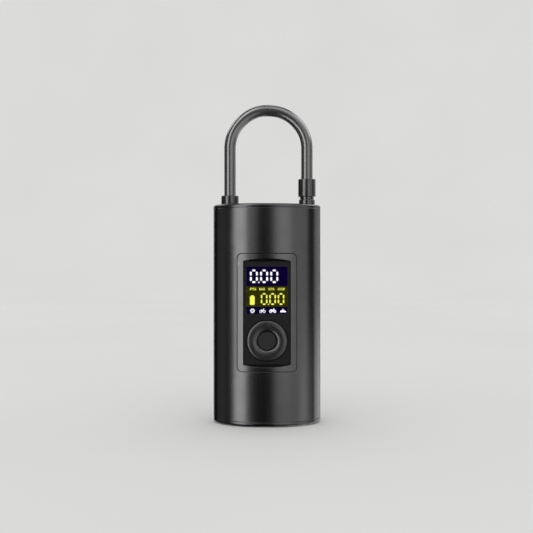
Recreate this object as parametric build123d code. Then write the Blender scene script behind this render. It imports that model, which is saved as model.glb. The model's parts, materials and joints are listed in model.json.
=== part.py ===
"""Hand-held rechargeable air pump with a flat display panel and a stowed air hose.

Millimetres. Origin at the middle of the foot, +Z up, +X to the right, the display faces -Y.
Each function makes one sub-part, and NODES at the end names them all.
"""

import os
from math import acos, cos, pi, radians, sin, sqrt, tan

from build123d import *

# ---- driving dimensions -------------------------------------------------------------------
BODY_WIDTH = 71.0  # oval body, side to side
BODY_DEPTH = 45.0  # oval body, front to back
BODY_HEIGHT = 143.0  # foot to top face
WALL = 1.8  # extruded sleeve
CAP_BAND = 2.6  # edge of each end cap that shows
CAP_ROUND = 1.5  # rounding of that edge
CAP_PLUG = 6.0  # how far each cap reaches into the sleeve
CAP_PLUG_WALL = 1.8
FOOT_STAND = 0.5  # the foot pad stands this far below the bottom cap
FOOT_SINK = 0.9  # and is let into it this far
FIT = 0.15  # clearance between fixed parts

WINDOW_WIDTH = 38.4  # opening in the sleeve for the bezel
WINDOW_HEIGHT = 75.8
WINDOW_ROUND = 3.2
WINDOW_MIDDLE_Z = 73.0
BEZEL_GAP = 0.22  # the shut line round the bezel
BEZEL_FLANGE = 2.0  # overlap behind the sleeve wall
BEZEL_BACK_Y = -14.6

PANEL_WIDTH = 30.3  # flat panel in the bezel
PANEL_HEIGHT = 66.2
PANEL_MIDDLE_Z = 72.8
PANEL_SINK = 0.2  # how far its long edges lie below the bezel
PANEL_THICK = 1.6
PANEL_GAP = 0.12
PANEL_LEDGE = 1.3
RECESS_FLARE = 1.7  # slope of the recess's end walls, measured up the body

DISPLAY_WIDTH = 26.4
DISPLAY_HEIGHT = 30.2
DISPLAY_MIDDLE_Z = 87.3
LENS_THICK = 1.1
LENS_GAP = 0.05
LCD_THICK = 3.7
LCD_MARGIN = 0.4

CONTROL_Z = 55.0  # middle of the round control
RING_RADIUS = 12.85
RING_GAP = 0.35
RING_CREST_RADIUS = 9.8
RING_CREST = 1.8  # height of its crest above the panel
RING_INNER_RADIUS = 6.15
RING_INNER_HEIGHT = 0.25
RING_FLANGE = 0.5
RING_TRAVEL = 0.45  # room behind the panel for the ring to rock
KEY_RADIUS = 5.9
KEY_PROUD = 0.25
KEY_FLANGE = 1.1
GIMBAL_RADIUS = 11.2
GIMBAL_INNER_RADIUS = 8.2
PAD_RADIUS = 12.6
PAD_INNER_RADIUS = 7.8
PAD_THICK = 0.8
NIB_CIRCLE = 9.6  # radius on which the pad's nibs and the switches lie
NIB_RADIUS = 1.0
NIB_LENGTH = 0.4

BOARD_THICK = 1.2  # display board
BOARD_WIDTH = 36.0
BOARD_LOW_Z = 38.0
BOARD_HIGH_Z = 103.4
SWITCH_SIZE = 4.2
SWITCH_HEIGHT = 0.8
PLUNGER_RADIUS = 1.0
PLUNGER_HEIGHT = 0.2

HOSE_RADIUS = 3.8
HOSE_BORE = 1.8
HOSE_LEFT_X = -24.5
HOSE_RIGHT_X = 26.5
HOSE_ARCH = 62.9  # middle of the hose at the top of its arch, above the top face
HOSE_SINK = 1.8  # how far each end goes into its fitting
COLLAR_RADIUS = 5.8
COLLAR_HEIGHT = 6.4  # above the top face
COLLAR_ROUND = 0.7
COLLAR_SPIGOT_RADIUS = 5.0

# Chuck nut, from its mouth upwards; heights are above the top face of the stowed pump.
NOSE_RADIUS = 5.3
NOSE_LOW = -9.0
NECK_LOW = 3.9
NECK_HIGH = 5.6
NECK_RADIUS = 4.6
GRIP_RADIUS = 5.8
GRIP_HIGH = 17.3
VALVE_THREAD_RADIUS = 3.85  # 7.7 mm tyre valve thread
VALVE_THREAD_LENGTH = 7.5
STEM_RADIUS = 3.05
STEM_BORE = 1.1
STEM_FLANGE_RADIUS = 3.75
STEM_GAP = 0.15
BARB_RADIUS = 1.7
CHAMBER_RADIUS = 4.1
CHAMBER_HIGH = 3.1
GASKET_THICK = 1.0
SOCKET_GAP = 0.25
SOCKET_FLOOR = -9.8
BUSHING_WALL = 1.2

CELL_RADIUS = 9.2
CELL_LENGTH = 65.0
CELL_PITCH = 19.4
CELL_Y = 3.0
CELL_LOW_Z = 7.2
STRAP_THICK = 0.2

MOTOR_X = -18.0
GEARS_Y = 1.5  # motor, crank and cylinder axes
MOTOR_RADIUS = 12.2
MOTOR_LENGTH = 30.0
CAN_WALL = 0.8
END_CAP_HEIGHT = 3.0
SHAFT_RADIUS = 1.0
RUNNING = 0.03  # radial clearance of turning and sliding parts

BASE_LOW_Z = 104.2
BASE_THICK = 2.2
MODULE = 0.5
PINION_TEETH = 14
WHEEL_TEETH = 50
BACKLASH = 0.1
GEAR_THICK = 3.6
GEAR_LIFT = 0.8  # underside of the wheel above the base
AXLE_RADIUS = 1.5
CRANK_RADIUS = 4.0
CRANK_DISC_THICK = 1.5
OPEN_PIVOT = 0.4  # gap where the crank pin would enter the crank disc
ROD_THICK = 5.0
ROD_LENGTH = 19.0
BIG_END_RADIUS = 5.2
BEARING_RADIUS = 4.0
CRANK_PIN_RADIUS = 1.5
CYLINDER_BORE = 8.0
CYLINDER_WALL = 1.0
FIN_RADIUS = 10.2
FIN_COUNT = 4
CYLINDER_LOW_X = 11.6
CYLINDER_HIGH_X = 23.3
VALVE_PLATE_THICK = 0.8
HEAD_THICK = 3.4
PISTON_THICK = 3.0

FIN_THICK = 1.2
FLANGE_HALF_WIDTH = 9.8
HEAD_SCREW_REACH = 7.9
HEAD_SCREW_DROP = 7.2

POST_PLACES = [(-9.5, 15.2), (18.0, 14.6), (22.4, -11.2)]
POST_RADIUS = 2.3
TIE_RADIUS = 1.0
TIE_HEAD_RADIUS = 1.9
SCREW_GAP = 0.1
BOSS_LOW_Z = 128.5

# ---- derived sizes --------------------------------------------------------------------------
OVAL_X = BODY_WIDTH / 2
OVAL_Y = BODY_DEPTH / 2
INNER_X = OVAL_X - WALL
INNER_Y = OVAL_Y - WALL
SLEEVE_LOW_Z = FOOT_STAND + CAP_BAND
SLEEVE_HIGH_Z = BODY_HEIGHT - CAP_BAND
TOP_PLUG_LOW_Z = SLEEVE_HIGH_Z - CAP_PLUG
FLUSH_Y = -OVAL_Y * sqrt(1 - (PANEL_WIDTH / 2 / OVAL_X) ** 2)
PANEL_Y = FLUSH_Y + PANEL_SINK
PANEL_BACK_Y = PANEL_Y + PANEL_THICK
BOARD_Y = BEZEL_BACK_Y + 0.1
BOARD_BACK_Y = BOARD_Y + BOARD_THICK
PAD_Y = PANEL_BACK_Y + RING_TRAVEL + RING_FLANGE + RING_TRAVEL
CRANK_X = MOTOR_X + MODULE * (PINION_TEETH + WHEEL_TEETH) / 2
BASE_HIGH_Z = BASE_LOW_Z + BASE_THICK
GEAR_LOW_Z = BASE_HIGH_Z + GEAR_LIFT
GEAR_HIGH_Z = GEAR_LOW_Z + GEAR_THICK
DISC_HIGH_Z = GEAR_HIGH_Z + CRANK_DISC_THICK
ROD_LOW_Z = DISC_HIGH_Z + OPEN_PIVOT
PUMP_Z = ROD_LOW_Z + ROD_THICK / 2
PIN_X = CRANK_X - CRANK_RADIUS
PISTON_X = PIN_X + ROD_LENGTH
MOTOR_LOW_Z = BASE_LOW_Z - MOTOR_LENGTH
NOSE_LOW_Z = BODY_HEIGHT + NOSE_LOW
NECK_LOW_Z = BODY_HEIGHT + NECK_LOW
NECK_HIGH_Z = BODY_HEIGHT + NECK_HIGH
GRIP_HIGH_Z = BODY_HEIGHT + GRIP_HIGH
CHAMBER_HIGH_Z = BODY_HEIGHT + CHAMBER_HIGH
SOCKET_FLOOR_Z = BODY_HEIGHT + SOCKET_FLOOR
# The stowed hose: up one leg, over a half-round arch drawn as four turns, down the other.
HOSE_TOP_Z = BODY_HEIGHT + HOSE_ARCH
ARCH_MIDDLE_X = (HOSE_LEFT_X + HOSE_RIGHT_X) / 2
ARCH_RADIUS = (HOSE_RIGHT_X - HOSE_LEFT_X) / 2
ARCH_STEP = ARCH_RADIUS * tan(pi / 8)
HOSE_POINTS = [
    (HOSE_LEFT_X, 0, BODY_HEIGHT - HOSE_SINK),
    (HOSE_LEFT_X, 0, HOSE_TOP_Z - ARCH_RADIUS + ARCH_STEP),
    (ARCH_MIDDLE_X - ARCH_STEP, 0, HOSE_TOP_Z),
    (ARCH_MIDDLE_X + ARCH_STEP, 0, HOSE_TOP_Z),
    (HOSE_RIGHT_X, 0, HOSE_TOP_Z - ARCH_RADIUS + ARCH_STEP),
    (HOSE_RIGHT_X, 0, GRIP_HIGH_Z - HOSE_SINK),
]
FAR = 300.0


# ---- shared helpers -------------------------------------------------------------------------
def oval(x_radius, y_radius, low, high):
    """An upright prism with an elliptical section."""
    return Pos(0, 0, low) * extrude(Ellipse(x_radius, y_radius), high - low)


def rod(radius, low, high, x=0.0, y=0.0):
    """An upright round bar."""
    return Pos(x, y, (low + high) / 2) * Cylinder(radius, high - low)


def tube(radius, bore, low, high, x=0.0, y=0.0):
    """An upright round tube."""
    return rod(radius, low, high, x, y) - rod(bore, low, high, x, y)


def bar_x(radius, low, high, y, z):
    """A round bar along X."""
    return Pos((low + high) / 2, y, z) * Rot(0, 90, 0) * Cylinder(radius, high - low)


def bar_y(radius, low, high, x, z):
    """A round bar along Y."""
    return Pos(x, (low + high) / 2, z) * Rot(90, 0, 0) * Cylinder(radius, high - low)


def block(low, high):
    """A box between two corners."""
    size = [b - a for a, b in zip(low, high)]
    middle = [(a + b) / 2 for a, b in zip(low, high)]
    return Pos(*middle) * Box(*size)


def front_block(width, height, rounding, middle_z, y_front, y_back):
    """A rounded rectangle seen from the front, solid from y_front back to y_back."""
    face = Plane((0, y_back, middle_z), x_dir=(1, 0, 0), z_dir=(0, -1, 0))
    outline = RectangleRounded(width, height, rounding)
    return extrude(face * outline, y_back - y_front)


def turned(points, x=0.0, y=0.0):
    """A solid of revolution about an upright axis from (radius, z) corners."""
    outline = make_face(Polyline(*[(r, 0, z) for r, z in points], close=True))
    return Pos(x, y, 0) * revolve(outline, Axis.Z)


def route_tube(points, radius, bore=0.0):
    """A tube along a route whose corners are arcs as large as the runs allow."""
    corners = [Vector(*p) for p in points]
    runs = [b - a for a, b in zip(corners, corners[1:])]
    radii = []
    for before, after in zip(runs, runs[1:]):
        turn = radians(before.get_angle(after))
        shorter = min(before.length, after.length)
        radii.append(0.45 * shorter / tan(turn / 2))
    line = FilletPolyline(*corners, radius=radii)
    start = Plane(line @ 0, z_dir=line % 0)
    solid = sweep(start * Circle(radius), path=line)
    section = pi * radius**2
    if bore:
        solid -= sweep(start * Circle(bore), path=line)
        section -= pi * bore**2
    share = solid.volume / (section * line.length)
    print(
        f"route {line.length:.1f} mm, radii {[round(r, 1) for r in radii]}, volume share {share:.3f}"
    )
    return solid


def gear(teeth, bore, low, high, x, y, turn):
    """A spur gear with involute flanks, thinned for backlash."""
    pitch = MODULE * teeth / 2
    base = pitch * cos(radians(20))
    tip, root = pitch + 0.9 * MODULE, pitch - 1.25 * MODULE
    half_pitch = pi / (2 * teeth) - BACKLASH / 4 / pitch

    def half_angle(radius):
        lean = acos(min(1.0, base / radius))
        return half_pitch + (tan(radians(20)) - radians(20)) - (tan(lean) - lean)

    def at(radius, angle):
        return (radius * cos(angle), radius * sin(angle))

    foot = max(base, root)
    middle = (foot + tip) / 2
    edges = []
    for n in range(teeth):
        a = 2 * pi * n / teeth
        left, right = [
            [at(r, a + side * half_angle(r)) for r in (foot, middle, tip)]
            for side in (-1, 1)
        ]
        low_left = at(root, a - half_angle(foot))
        low_right = at(root, a + half_angle(foot))
        following = at(root, a + 2 * pi / teeth - half_angle(foot))
        if foot > root:
            edges.append(Line(low_left, left[0]))
        edges.append(ThreePointArc(*left))
        edges.append(ThreePointArc(left[2], at(tip, a), right[2]))
        edges.append(ThreePointArc(right[2], right[1], right[0]))
        if foot > root:
            edges.append(Line(right[0], low_right))
        valley = at(root, a + pi / teeth)
        edges.append(ThreePointArc(low_right, valley, following))
    blank = extrude(make_face(edges), high - low)
    blank -= Cylinder(bore, 4 * (high - low))
    return Pos(x, y, low) * Rot(0, 0, turn) * blank


# ---- casing ---------------------------------------------------------------------------------
def housing_sleeve():
    """Extruded oval tube with the window for the bezel."""
    shell = oval(OVAL_X, OVAL_Y, SLEEVE_LOW_Z, SLEEVE_HIGH_Z)
    shell -= oval(INNER_X, INNER_Y, SLEEVE_LOW_Z, SLEEVE_HIGH_Z)
    window = front_block(
        WINDOW_WIDTH, WINDOW_HEIGHT, WINDOW_ROUND, WINDOW_MIDDLE_Z, -FAR, 0
    )
    return shell - window


LAMP_WIDTH, LAMP_DEPTH, LAMP_Y = 17.0, 6.4, -8.0
USB_WIDTH, USB_DEPTH, USB_Y = 9.0, 3.3, 9.0
USB_LENGTH, USB_POST_X = 7.0, 5.7
USB_LOW_Z = BODY_HEIGHT - 0.3 - USB_LENGTH
SOCKET_OUTER = NOSE_RADIUS + SOCKET_GAP + BUSHING_WALL


def slot_block(width, depth, y, low, high):
    """An upright block with half-round ends."""
    return Pos(0, y, low) * extrude(SlotOverall(width, depth), high - low)


def top_cap():
    """Closes the sleeve's top, with seats for the collar, socket, lamp and charging port."""
    inside = oval(INNER_X - FIT, INNER_Y - FIT, 0, BODY_HEIGHT)
    rim = oval(OVAL_X, OVAL_Y, SLEEVE_HIGH_Z, BODY_HEIGHT)
    cap = fillet(rim.edges().group_by(Axis.Z)[-1], CAP_ROUND)
    hollow = INNER_X - FIT - CAP_PLUG_WALL, INNER_Y - FIT - CAP_PLUG_WALL
    plug = oval(INNER_X - FIT, INNER_Y - FIT, TOP_PLUG_LOW_Z, SLEEVE_HIGH_Z)
    cap += plug - oval(*hollow, TOP_PLUG_LOW_Z, SLEEVE_HIGH_Z)
    socket = rod(SOCKET_OUTER + 1.2, SOCKET_FLOOR_Z - 1.5, SLEEVE_HIGH_Z, HOSE_RIGHT_X)
    cap += socket & inside
    cap += slot_block(
        LAMP_WIDTH + 2.4, LAMP_DEPTH + 2.4, LAMP_Y, SLEEVE_HIGH_Z - 4.0, SLEEVE_HIGH_Z
    )
    for side in (-1, 1):
        cap += rod(0.9, USB_LOW_Z, SLEEVE_HIGH_Z, side * USB_POST_X, USB_Y)
    for x, y in POST_PLACES:
        cap += rod(POST_RADIUS, BOSS_LOW_Z, SLEEVE_HIGH_Z, x, y) & inside
    for x, y in POST_PLACES:
        cap -= rod(TIE_RADIUS, BOSS_LOW_Z, BOSS_LOW_Z + 7, x, y)
    cap -= rod(SOCKET_OUTER, SOCKET_FLOOR_Z, BODY_HEIGHT, HOSE_RIGHT_X)
    cap -= rod(COLLAR_SPIGOT_RADIUS + FIT, 0, BODY_HEIGHT, HOSE_LEFT_X)
    cap -= slot_block(LAMP_WIDTH, LAMP_DEPTH, LAMP_Y, 0, BODY_HEIGHT)
    cap -= slot_block(USB_WIDTH, USB_DEPTH, USB_Y, 0, BODY_HEIGHT)
    return cap


BOTTOM_SCREWS = [(-20.0, 7.5), (20.0, 7.5), (-20.0, -7.5), (20.0, -7.5)]
FOOT_X, FOOT_Y, FOOT_WIDTH = 32.4, 19.4, 3.4
VENT_COUNT, VENT_PITCH, VENT_WIDTH = 7, 4.0, 1.8


def vents(low, high):
    """The row of air inlet slots, as cutters."""
    middle = (VENT_COUNT - 1) / 2
    cutters = []
    for n in range(VENT_COUNT):
        length = 16.0 - 2 * abs(n - middle)
        slot = Pos((n - middle) * VENT_PITCH, 0, low) * Rot(0, 0, 90)
        cutters.append(extrude(slot * SlotOverall(length, VENT_WIDTH), high - low))
    return cutters


def foot_pad():
    """Soft ring that the pump stands on."""
    low, high = 0.0, FOOT_STAND + FOOT_SINK
    pad = oval(FOOT_X, FOOT_Y, low, high)
    pad -= oval(FOOT_X - FOOT_WIDTH, FOOT_Y - FOOT_WIDTH, low, high)
    return pad


def bottom_cap():
    """Closes the sleeve's bottom: air inlet slots, screw holes and the foot's groove."""
    rim = oval(OVAL_X, OVAL_Y, FOOT_STAND, SLEEVE_LOW_Z)
    rim = fillet(rim.edges().group_by(Axis.Z)[0], CAP_ROUND)
    high = SLEEVE_LOW_Z + 2.0
    plug = oval(INNER_X - FIT, INNER_Y - FIT, SLEEVE_LOW_Z, high)
    plug -= oval(
        INNER_X - FIT - CAP_PLUG_WALL, INNER_Y - FIT - CAP_PLUG_WALL, SLEEVE_LOW_Z, high
    )
    cap = rim + plug
    groove = oval(FOOT_X + PANEL_GAP, FOOT_Y + PANEL_GAP, 0, FOOT_STAND + FOOT_SINK)
    inside = FOOT_WIDTH + PANEL_GAP
    groove -= oval(FOOT_X - inside, FOOT_Y - inside, 0, FOOT_STAND + FOOT_SINK)
    cap -= groove
    cap -= vents(0, SLEEVE_LOW_Z)
    for x, y in BOTTOM_SCREWS:
        cap -= rod(TIE_RADIUS + SCREW_GAP, 0, SLEEVE_LOW_Z, x, y)
        cap -= rod(TIE_HEAD_RADIUS + SCREW_GAP, 0, FOOT_STAND + FOOT_SINK, x, y)
    return cap


def window_bezel():
    """Insert that carries the flat panel; its face follows the body."""
    width, height = WINDOW_WIDTH - 2 * BEZEL_GAP, WINDOW_HEIGHT - 2 * BEZEL_GAP
    rounding = WINDOW_ROUND - BEZEL_GAP
    face = front_block(width, height, rounding, WINDOW_MIDDLE_Z, -FAR, BEZEL_BACK_Y)
    bezel = face & oval(OVAL_X, OVAL_Y, 0, BODY_HEIGHT)
    flange = front_block(
        WINDOW_WIDTH + 2 * BEZEL_FLANGE,
        WINDOW_HEIGHT + 2 * BEZEL_FLANGE,
        WINDOW_ROUND + BEZEL_FLANGE,
        WINDOW_MIDDLE_Z,
        -FAR,
        BEZEL_BACK_Y,
    )
    bezel += flange & oval(INNER_X - FIT, INNER_Y - FIT, 0, BODY_HEIGHT)
    half = PANEL_HEIGHT / 2
    flare = RECESS_FLARE * (OVAL_Y + 1 + PANEL_Y) / (OVAL_Y + PANEL_Y)
    low, high = PANEL_MIDDLE_Z - half, PANEL_MIDDLE_Z + half
    outline = Polyline(
        (0, PANEL_BACK_Y, low),
        (0, PANEL_Y, low),
        (0, -OVAL_Y - 1, low - flare),
        (0, -OVAL_Y - 1, high + flare),
        (0, PANEL_Y, high),
        (0, PANEL_BACK_Y, high),
        close=True,
    )
    recess = extrude(make_face(outline), PANEL_WIDTH / 2, dir=(1, 0, 0), both=True)
    through = front_block(
        PANEL_WIDTH - 2 * PANEL_LEDGE,
        PANEL_HEIGHT - 2 * PANEL_LEDGE,
        1.0,
        PANEL_MIDDLE_Z,
        -FAR,
        0,
    )
    return bezel - recess - through


def fascia_panel():
    """Flat black panel with openings for the display and the round control."""
    width, height = PANEL_WIDTH - 2 * PANEL_GAP, PANEL_HEIGHT - 2 * PANEL_GAP
    panel = front_block(width, height, 0.4, PANEL_MIDDLE_Z, PANEL_Y, PANEL_BACK_Y)
    panel -= front_block(
        DISPLAY_WIDTH, DISPLAY_HEIGHT, 0.5, DISPLAY_MIDDLE_Z, -FAR, 0
    )
    return panel - bar_y(RING_RADIUS + RING_GAP, -FAR, 0, 0, CONTROL_Z)


def display_lens():
    """Clear window let flush into the panel."""
    return front_block(
        DISPLAY_WIDTH - 2 * LENS_GAP,
        DISPLAY_HEIGHT - 2 * LENS_GAP,
        0.5 - LENS_GAP,
        DISPLAY_MIDDLE_Z,
        PANEL_Y,
        PANEL_Y + LENS_THICK,
    )


def lcd_module():
    """Display glass with its backlight, behind the lens."""
    front = PANEL_BACK_Y + 0.1
    return front_block(
        DISPLAY_WIDTH + 2 * LCD_MARGIN,
        DISPLAY_HEIGHT + 2 * LCD_MARGIN,
        0.4,
        DISPLAY_MIDDLE_Z,
        front,
        front + LCD_THICK,
    )


# ---- round control --------------------------------------------------------------------------
def from_panel(points, axis_z=CONTROL_Z):
    """A solid of revolution about the control's axis from (radius, y) corners or arcs."""
    outline = make_face(points)
    turned_about_y = revolve(outline, Axis.Y)
    return Pos(0, 0, axis_z) * turned_about_y


def control_ring():
    """Dished rocker ring: press it up, down, left or right."""
    crest_y = PANEL_Y - RING_CREST
    inner_y = PANEL_Y - RING_INNER_HEIGHT
    shoulder_y = crest_y + 0.9
    flange_y = PANEL_BACK_Y + RING_TRAVEL
    back_y = flange_y + RING_FLANGE
    skirt, lip = 1.2, 1.1
    drop = inner_y - crest_y
    span = RING_CREST_RADIUS - RING_INNER_RADIUS
    bow = (span**2 + drop**2) / (2 * drop)
    lean = acos((bow - drop) / bow) / 2
    dish = ThreePointArc(
        (RING_CREST_RADIUS, crest_y, 0),
        (RING_CREST_RADIUS - bow * sin(lean), crest_y + bow * (1 - cos(lean)), 0),
        (RING_INNER_RADIUS, inner_y, 0),
    )
    edge_round = RING_RADIUS - RING_CREST_RADIUS
    edge = ThreePointArc(
        (RING_RADIUS, shoulder_y, 0),
        (
            RING_CREST_RADIUS + edge_round * sin(pi / 4),
            shoulder_y - (shoulder_y - crest_y) * sin(pi / 4),
            0,
        ),
        (RING_CREST_RADIUS, crest_y, 0),
    )
    wall = Polyline(
        (RING_INNER_RADIUS, inner_y, 0),
        (RING_INNER_RADIUS, inner_y + lip, 0),
        (RING_INNER_RADIUS + lip, inner_y + lip, 0),
        (RING_CREST_RADIUS, crest_y + skirt, 0),
        (RING_RADIUS - skirt, shoulder_y + skirt, 0),
        (RING_RADIUS - skirt, back_y, 0),
        (RING_RADIUS + RING_FLANGE, back_y, 0),
        (RING_RADIUS + RING_FLANGE, flange_y, 0),
        (RING_RADIUS, flange_y, 0),
        (RING_RADIUS, shoulder_y, 0),
    )
    return from_panel([dish, *wall.edges(), edge])


def ring_gimbal():
    """Thin ring between the rocker ring and the pad; it lets the rocker tip both ways."""
    low = PANEL_BACK_Y + 0.3
    ring = bar_y(GIMBAL_RADIUS, low, low + 0.5, 0, CONTROL_Z)
    return ring - bar_y(GIMBAL_INNER_RADIUS, low, low + 0.5, 0, CONTROL_Z)


def centre_key():
    """Round start key in the middle of the ring."""
    front = PANEL_Y - KEY_PROUD
    flange_y = PANEL_Y + 1.45
    edge = 0.3
    stem = 2.4
    outline = Polyline(
        (0, front, 0),
        (KEY_RADIUS - edge, front, 0),
        (KEY_RADIUS, front + edge, 0),
        (KEY_RADIUS, flange_y, 0),
        (KEY_RADIUS + KEY_FLANGE, flange_y, 0),
        (KEY_RADIUS + KEY_FLANGE, flange_y + 0.6, 0),
        (stem, flange_y + 0.6, 0),
        (stem, BOARD_Y - SWITCH_HEIGHT - PLUNGER_HEIGHT - 0.4, 0),
        (0, BOARD_Y - SWITCH_HEIGHT - PLUNGER_HEIGHT - 0.4, 0),
        close=True,
    )
    return from_panel(outline.edges())


def nib_places():
    """Where the four rocker switches lie, as (x, z)."""
    return [
        (NIB_CIRCLE * cos(n * pi / 2), CONTROL_Z + NIB_CIRCLE * sin(n * pi / 2))
        for n in range(4)
    ]


def key_pad():
    """Rubber pad behind the ring, with a nib over each switch."""
    back = PAD_Y + PAD_THICK
    pad = bar_y(PAD_RADIUS, PAD_Y, back, 0, CONTROL_Z)
    pad -= bar_y(PAD_INNER_RADIUS, PAD_Y, back, 0, CONTROL_Z)
    for x, z in nib_places():
        pad += bar_y(NIB_RADIUS, PAD_Y, back + NIB_LENGTH, x, z)
    return pad


def display_board():
    """Circuit board behind the bezel."""
    low = (-BOARD_WIDTH / 2, BOARD_Y, BOARD_LOW_Z)
    high = (BOARD_WIDTH / 2, BOARD_BACK_Y, BOARD_HIGH_Z)
    board = block(low, high)
    for x, z in bezel_screw_places():
        board -= bar_y(TIE_RADIUS + SCREW_GAP, BOARD_Y, BOARD_BACK_Y, x, z)
    return board


def bezel_screw_places():
    """Where the board is screwed to the bezel, as (x, z)."""
    x = BOARD_WIDTH / 2 - 1.9
    return [(s * x, z) for s in (-1, 1) for z in (BOARD_LOW_Z + 3, BOARD_HIGH_Z - 3)]


def bezel_screws():
    """Screws that hold the board to the bezel's flange."""
    screws = []
    for x, z in bezel_screw_places():
        screw = bar_y(1.8, BOARD_BACK_Y, BOARD_BACK_Y + 0.7, x, z)
        screw += bar_y(TIE_RADIUS, BOARD_Y, BOARD_BACK_Y, x, z)
        screws.append(screw)
    return screws


def key_switches():
    """Five tactile switches: four under the ring, one under the key."""
    switches = []
    for x, z in [*nib_places(), (0, CONTROL_Z)]:
        half = SWITCH_SIZE / 2
        body = block(
            (x - half, BOARD_Y - SWITCH_HEIGHT, z - half), (x + half, BOARD_Y, z + half)
        )
        plunger_y = BOARD_Y - SWITCH_HEIGHT - PLUNGER_HEIGHT
        body += bar_y(PLUNGER_RADIUS, plunger_y, BOARD_Y, x, z)
        switches.append(body)
    return switches


# ---- hose and chuck -------------------------------------------------------------------------
def hose():
    """The air hose, stowed."""
    return route_tube(HOSE_POINTS, HOSE_RADIUS, HOSE_BORE)


def hose_collar():
    """Ferrule round the hose where it leaves the top cap."""
    high = BODY_HEIGHT + COLLAR_HEIGHT
    head = rod(COLLAR_RADIUS, BODY_HEIGHT, high, HOSE_LEFT_X)
    head = fillet(head.edges().group_by(Axis.Z)[-1], COLLAR_ROUND)
    spigot = rod(COLLAR_SPIGOT_RADIUS, HOSE_POINTS[0][2], BODY_HEIGHT, HOSE_LEFT_X)
    bore = rod(HOSE_RADIUS, 0, FAR, HOSE_LEFT_X)
    return head + spigot - bore


def stow_bushing():
    """Liner of the socket that the chuck is stowed in."""
    bore = NOSE_RADIUS + SOCKET_GAP
    liner = tube(SOCKET_OUTER, bore, SOCKET_FLOOR_Z, BODY_HEIGHT, HOSE_RIGHT_X)
    return liner


def chuck_nut():
    """Swivelling nut: grip, neck and threaded nose in one turned piece."""
    edge = 0.5
    thread_top = NOSE_LOW_Z + VALVE_THREAD_LENGTH
    hose_seat = HOSE_POINTS[-1][2] - 0.2
    hose_room = HOSE_RADIUS + 0.3
    return turned(
        [
            (VALVE_THREAD_RADIUS, NOSE_LOW_Z),
            (NOSE_RADIUS - edge, NOSE_LOW_Z),
            (NOSE_RADIUS, NOSE_LOW_Z + edge),
            (NOSE_RADIUS, NECK_LOW_Z - edge),
            (NOSE_RADIUS - edge, NECK_LOW_Z),
            (NECK_RADIUS, NECK_LOW_Z),
            (NECK_RADIUS, NECK_HIGH_Z),
            (GRIP_RADIUS - edge / 2, NECK_HIGH_Z),
            (GRIP_RADIUS, NECK_HIGH_Z + edge / 2),
            (GRIP_RADIUS, GRIP_HIGH_Z - edge / 2),
            (GRIP_RADIUS - edge / 2, GRIP_HIGH_Z),
            (hose_room, GRIP_HIGH_Z),
            (hose_room, hose_seat),
            (STEM_RADIUS + STEM_GAP, hose_seat),
            (STEM_RADIUS + STEM_GAP, CHAMBER_HIGH_Z),
            (CHAMBER_RADIUS, CHAMBER_HIGH_Z),
            (CHAMBER_RADIUS, thread_top),
            (VALVE_THREAD_RADIUS, thread_top),
        ],
        HOSE_RIGHT_X,
    )


def chuck_stem():
    """Barbed stem inside the nut: the hose is pushed over its upper end."""
    hose_end = HOSE_POINTS[-1][2]
    flange_high = CHAMBER_HIGH_Z - STEM_GAP
    flange_low = flange_high - 2.2
    barb_top = hose_end + 9.0
    stem = turned(
        [
            (STEM_BORE, flange_low),
            (STEM_FLANGE_RADIUS, flange_low),
            (STEM_FLANGE_RADIUS, flange_high),
            (STEM_RADIUS, flange_high),
            (STEM_RADIUS, hose_end),
            (BARB_RADIUS, hose_end),
            (BARB_RADIUS, barb_top - 1),
            (STEM_BORE + 0.3, barb_top),
            (STEM_BORE, barb_top),
        ],
        HOSE_RIGHT_X,
    )
    return stem


def chuck_gasket():
    """Rubber washer that seals on the tyre valve."""
    high = CHAMBER_HIGH_Z - STEM_GAP - 2.2
    return tube(STEM_FLANGE_RADIUS, 1.6, high - GASKET_THICK, high, HOSE_RIGHT_X)


def valve_depressor():
    """Pin that opens the tyre valve, on a small cross web in the stem's mouth."""
    web_low = CHAMBER_HIGH_Z - STEM_GAP - 2.2
    pin = rod(0.6, web_low - GASKET_THICK - 1.1, web_low + 1.2, HOSE_RIGHT_X)
    half = STEM_BORE * 0.95
    web = block(
        (HOSE_RIGHT_X - half, -0.3, web_low + 0.2), (HOSE_RIGHT_X + half, 0.3, web_low + 1.2)
    )
    return pin + web


MANIFOLD_Z = BODY_HEIGHT - 13.0
TUBE_RADIUS, TUBE_BORE = 2.5, 1.5
PORT_Y = GEARS_Y + 3.0
PORT_Z = PUMP_Z + sqrt((FIN_RADIUS + TUBE_RADIUS + 0.4) ** 2 - (PORT_Y - GEARS_Y) ** 2)
OUTLET_POINTS = [
    (CYLINDER_HIGH_X - 0.4, PORT_Y, PORT_Z),
    (8.0, PORT_Y, PORT_Z),
    (-6.0, 0, MANIFOLD_Z),
    (HOSE_LEFT_X + 4.9, 0, MANIFOLD_Z),
]


def hose_manifold():
    """Brass block under the top cap: hose barb up, pump barb to the side."""
    x, low, shoulder = HOSE_LEFT_X, MANIFOLD_Z - 3, MANIFOLD_Z + 4
    hose_end = HOSE_POINTS[0][2]
    body = block((x - 4.5, -4.5, low), (x + 4.5, 4.5, shoulder))
    body += rod(COLLAR_SPIGOT_RADIUS - 0.6, shoulder, hose_end - 0.4, x)
    body += rod(6.6, SLEEVE_HIGH_Z - 1.6, SLEEVE_HIGH_Z, x)
    body += rod(HOSE_BORE, shoulder, hose_end + 8.0, x)
    body += bar_x(TUBE_BORE, x + 4.5, x + 9.5, 0, MANIFOLD_Z)
    body -= rod(1.0, MANIFOLD_Z, FAR, x)
    body -= bar_x(1.0, x, x + 10, 0, MANIFOLD_Z)
    return body


def outlet_tube():
    """Air tube from the cylinder head to the manifold."""
    return route_tube(OUTLET_POINTS, TUBE_RADIUS, TUBE_BORE)


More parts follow.
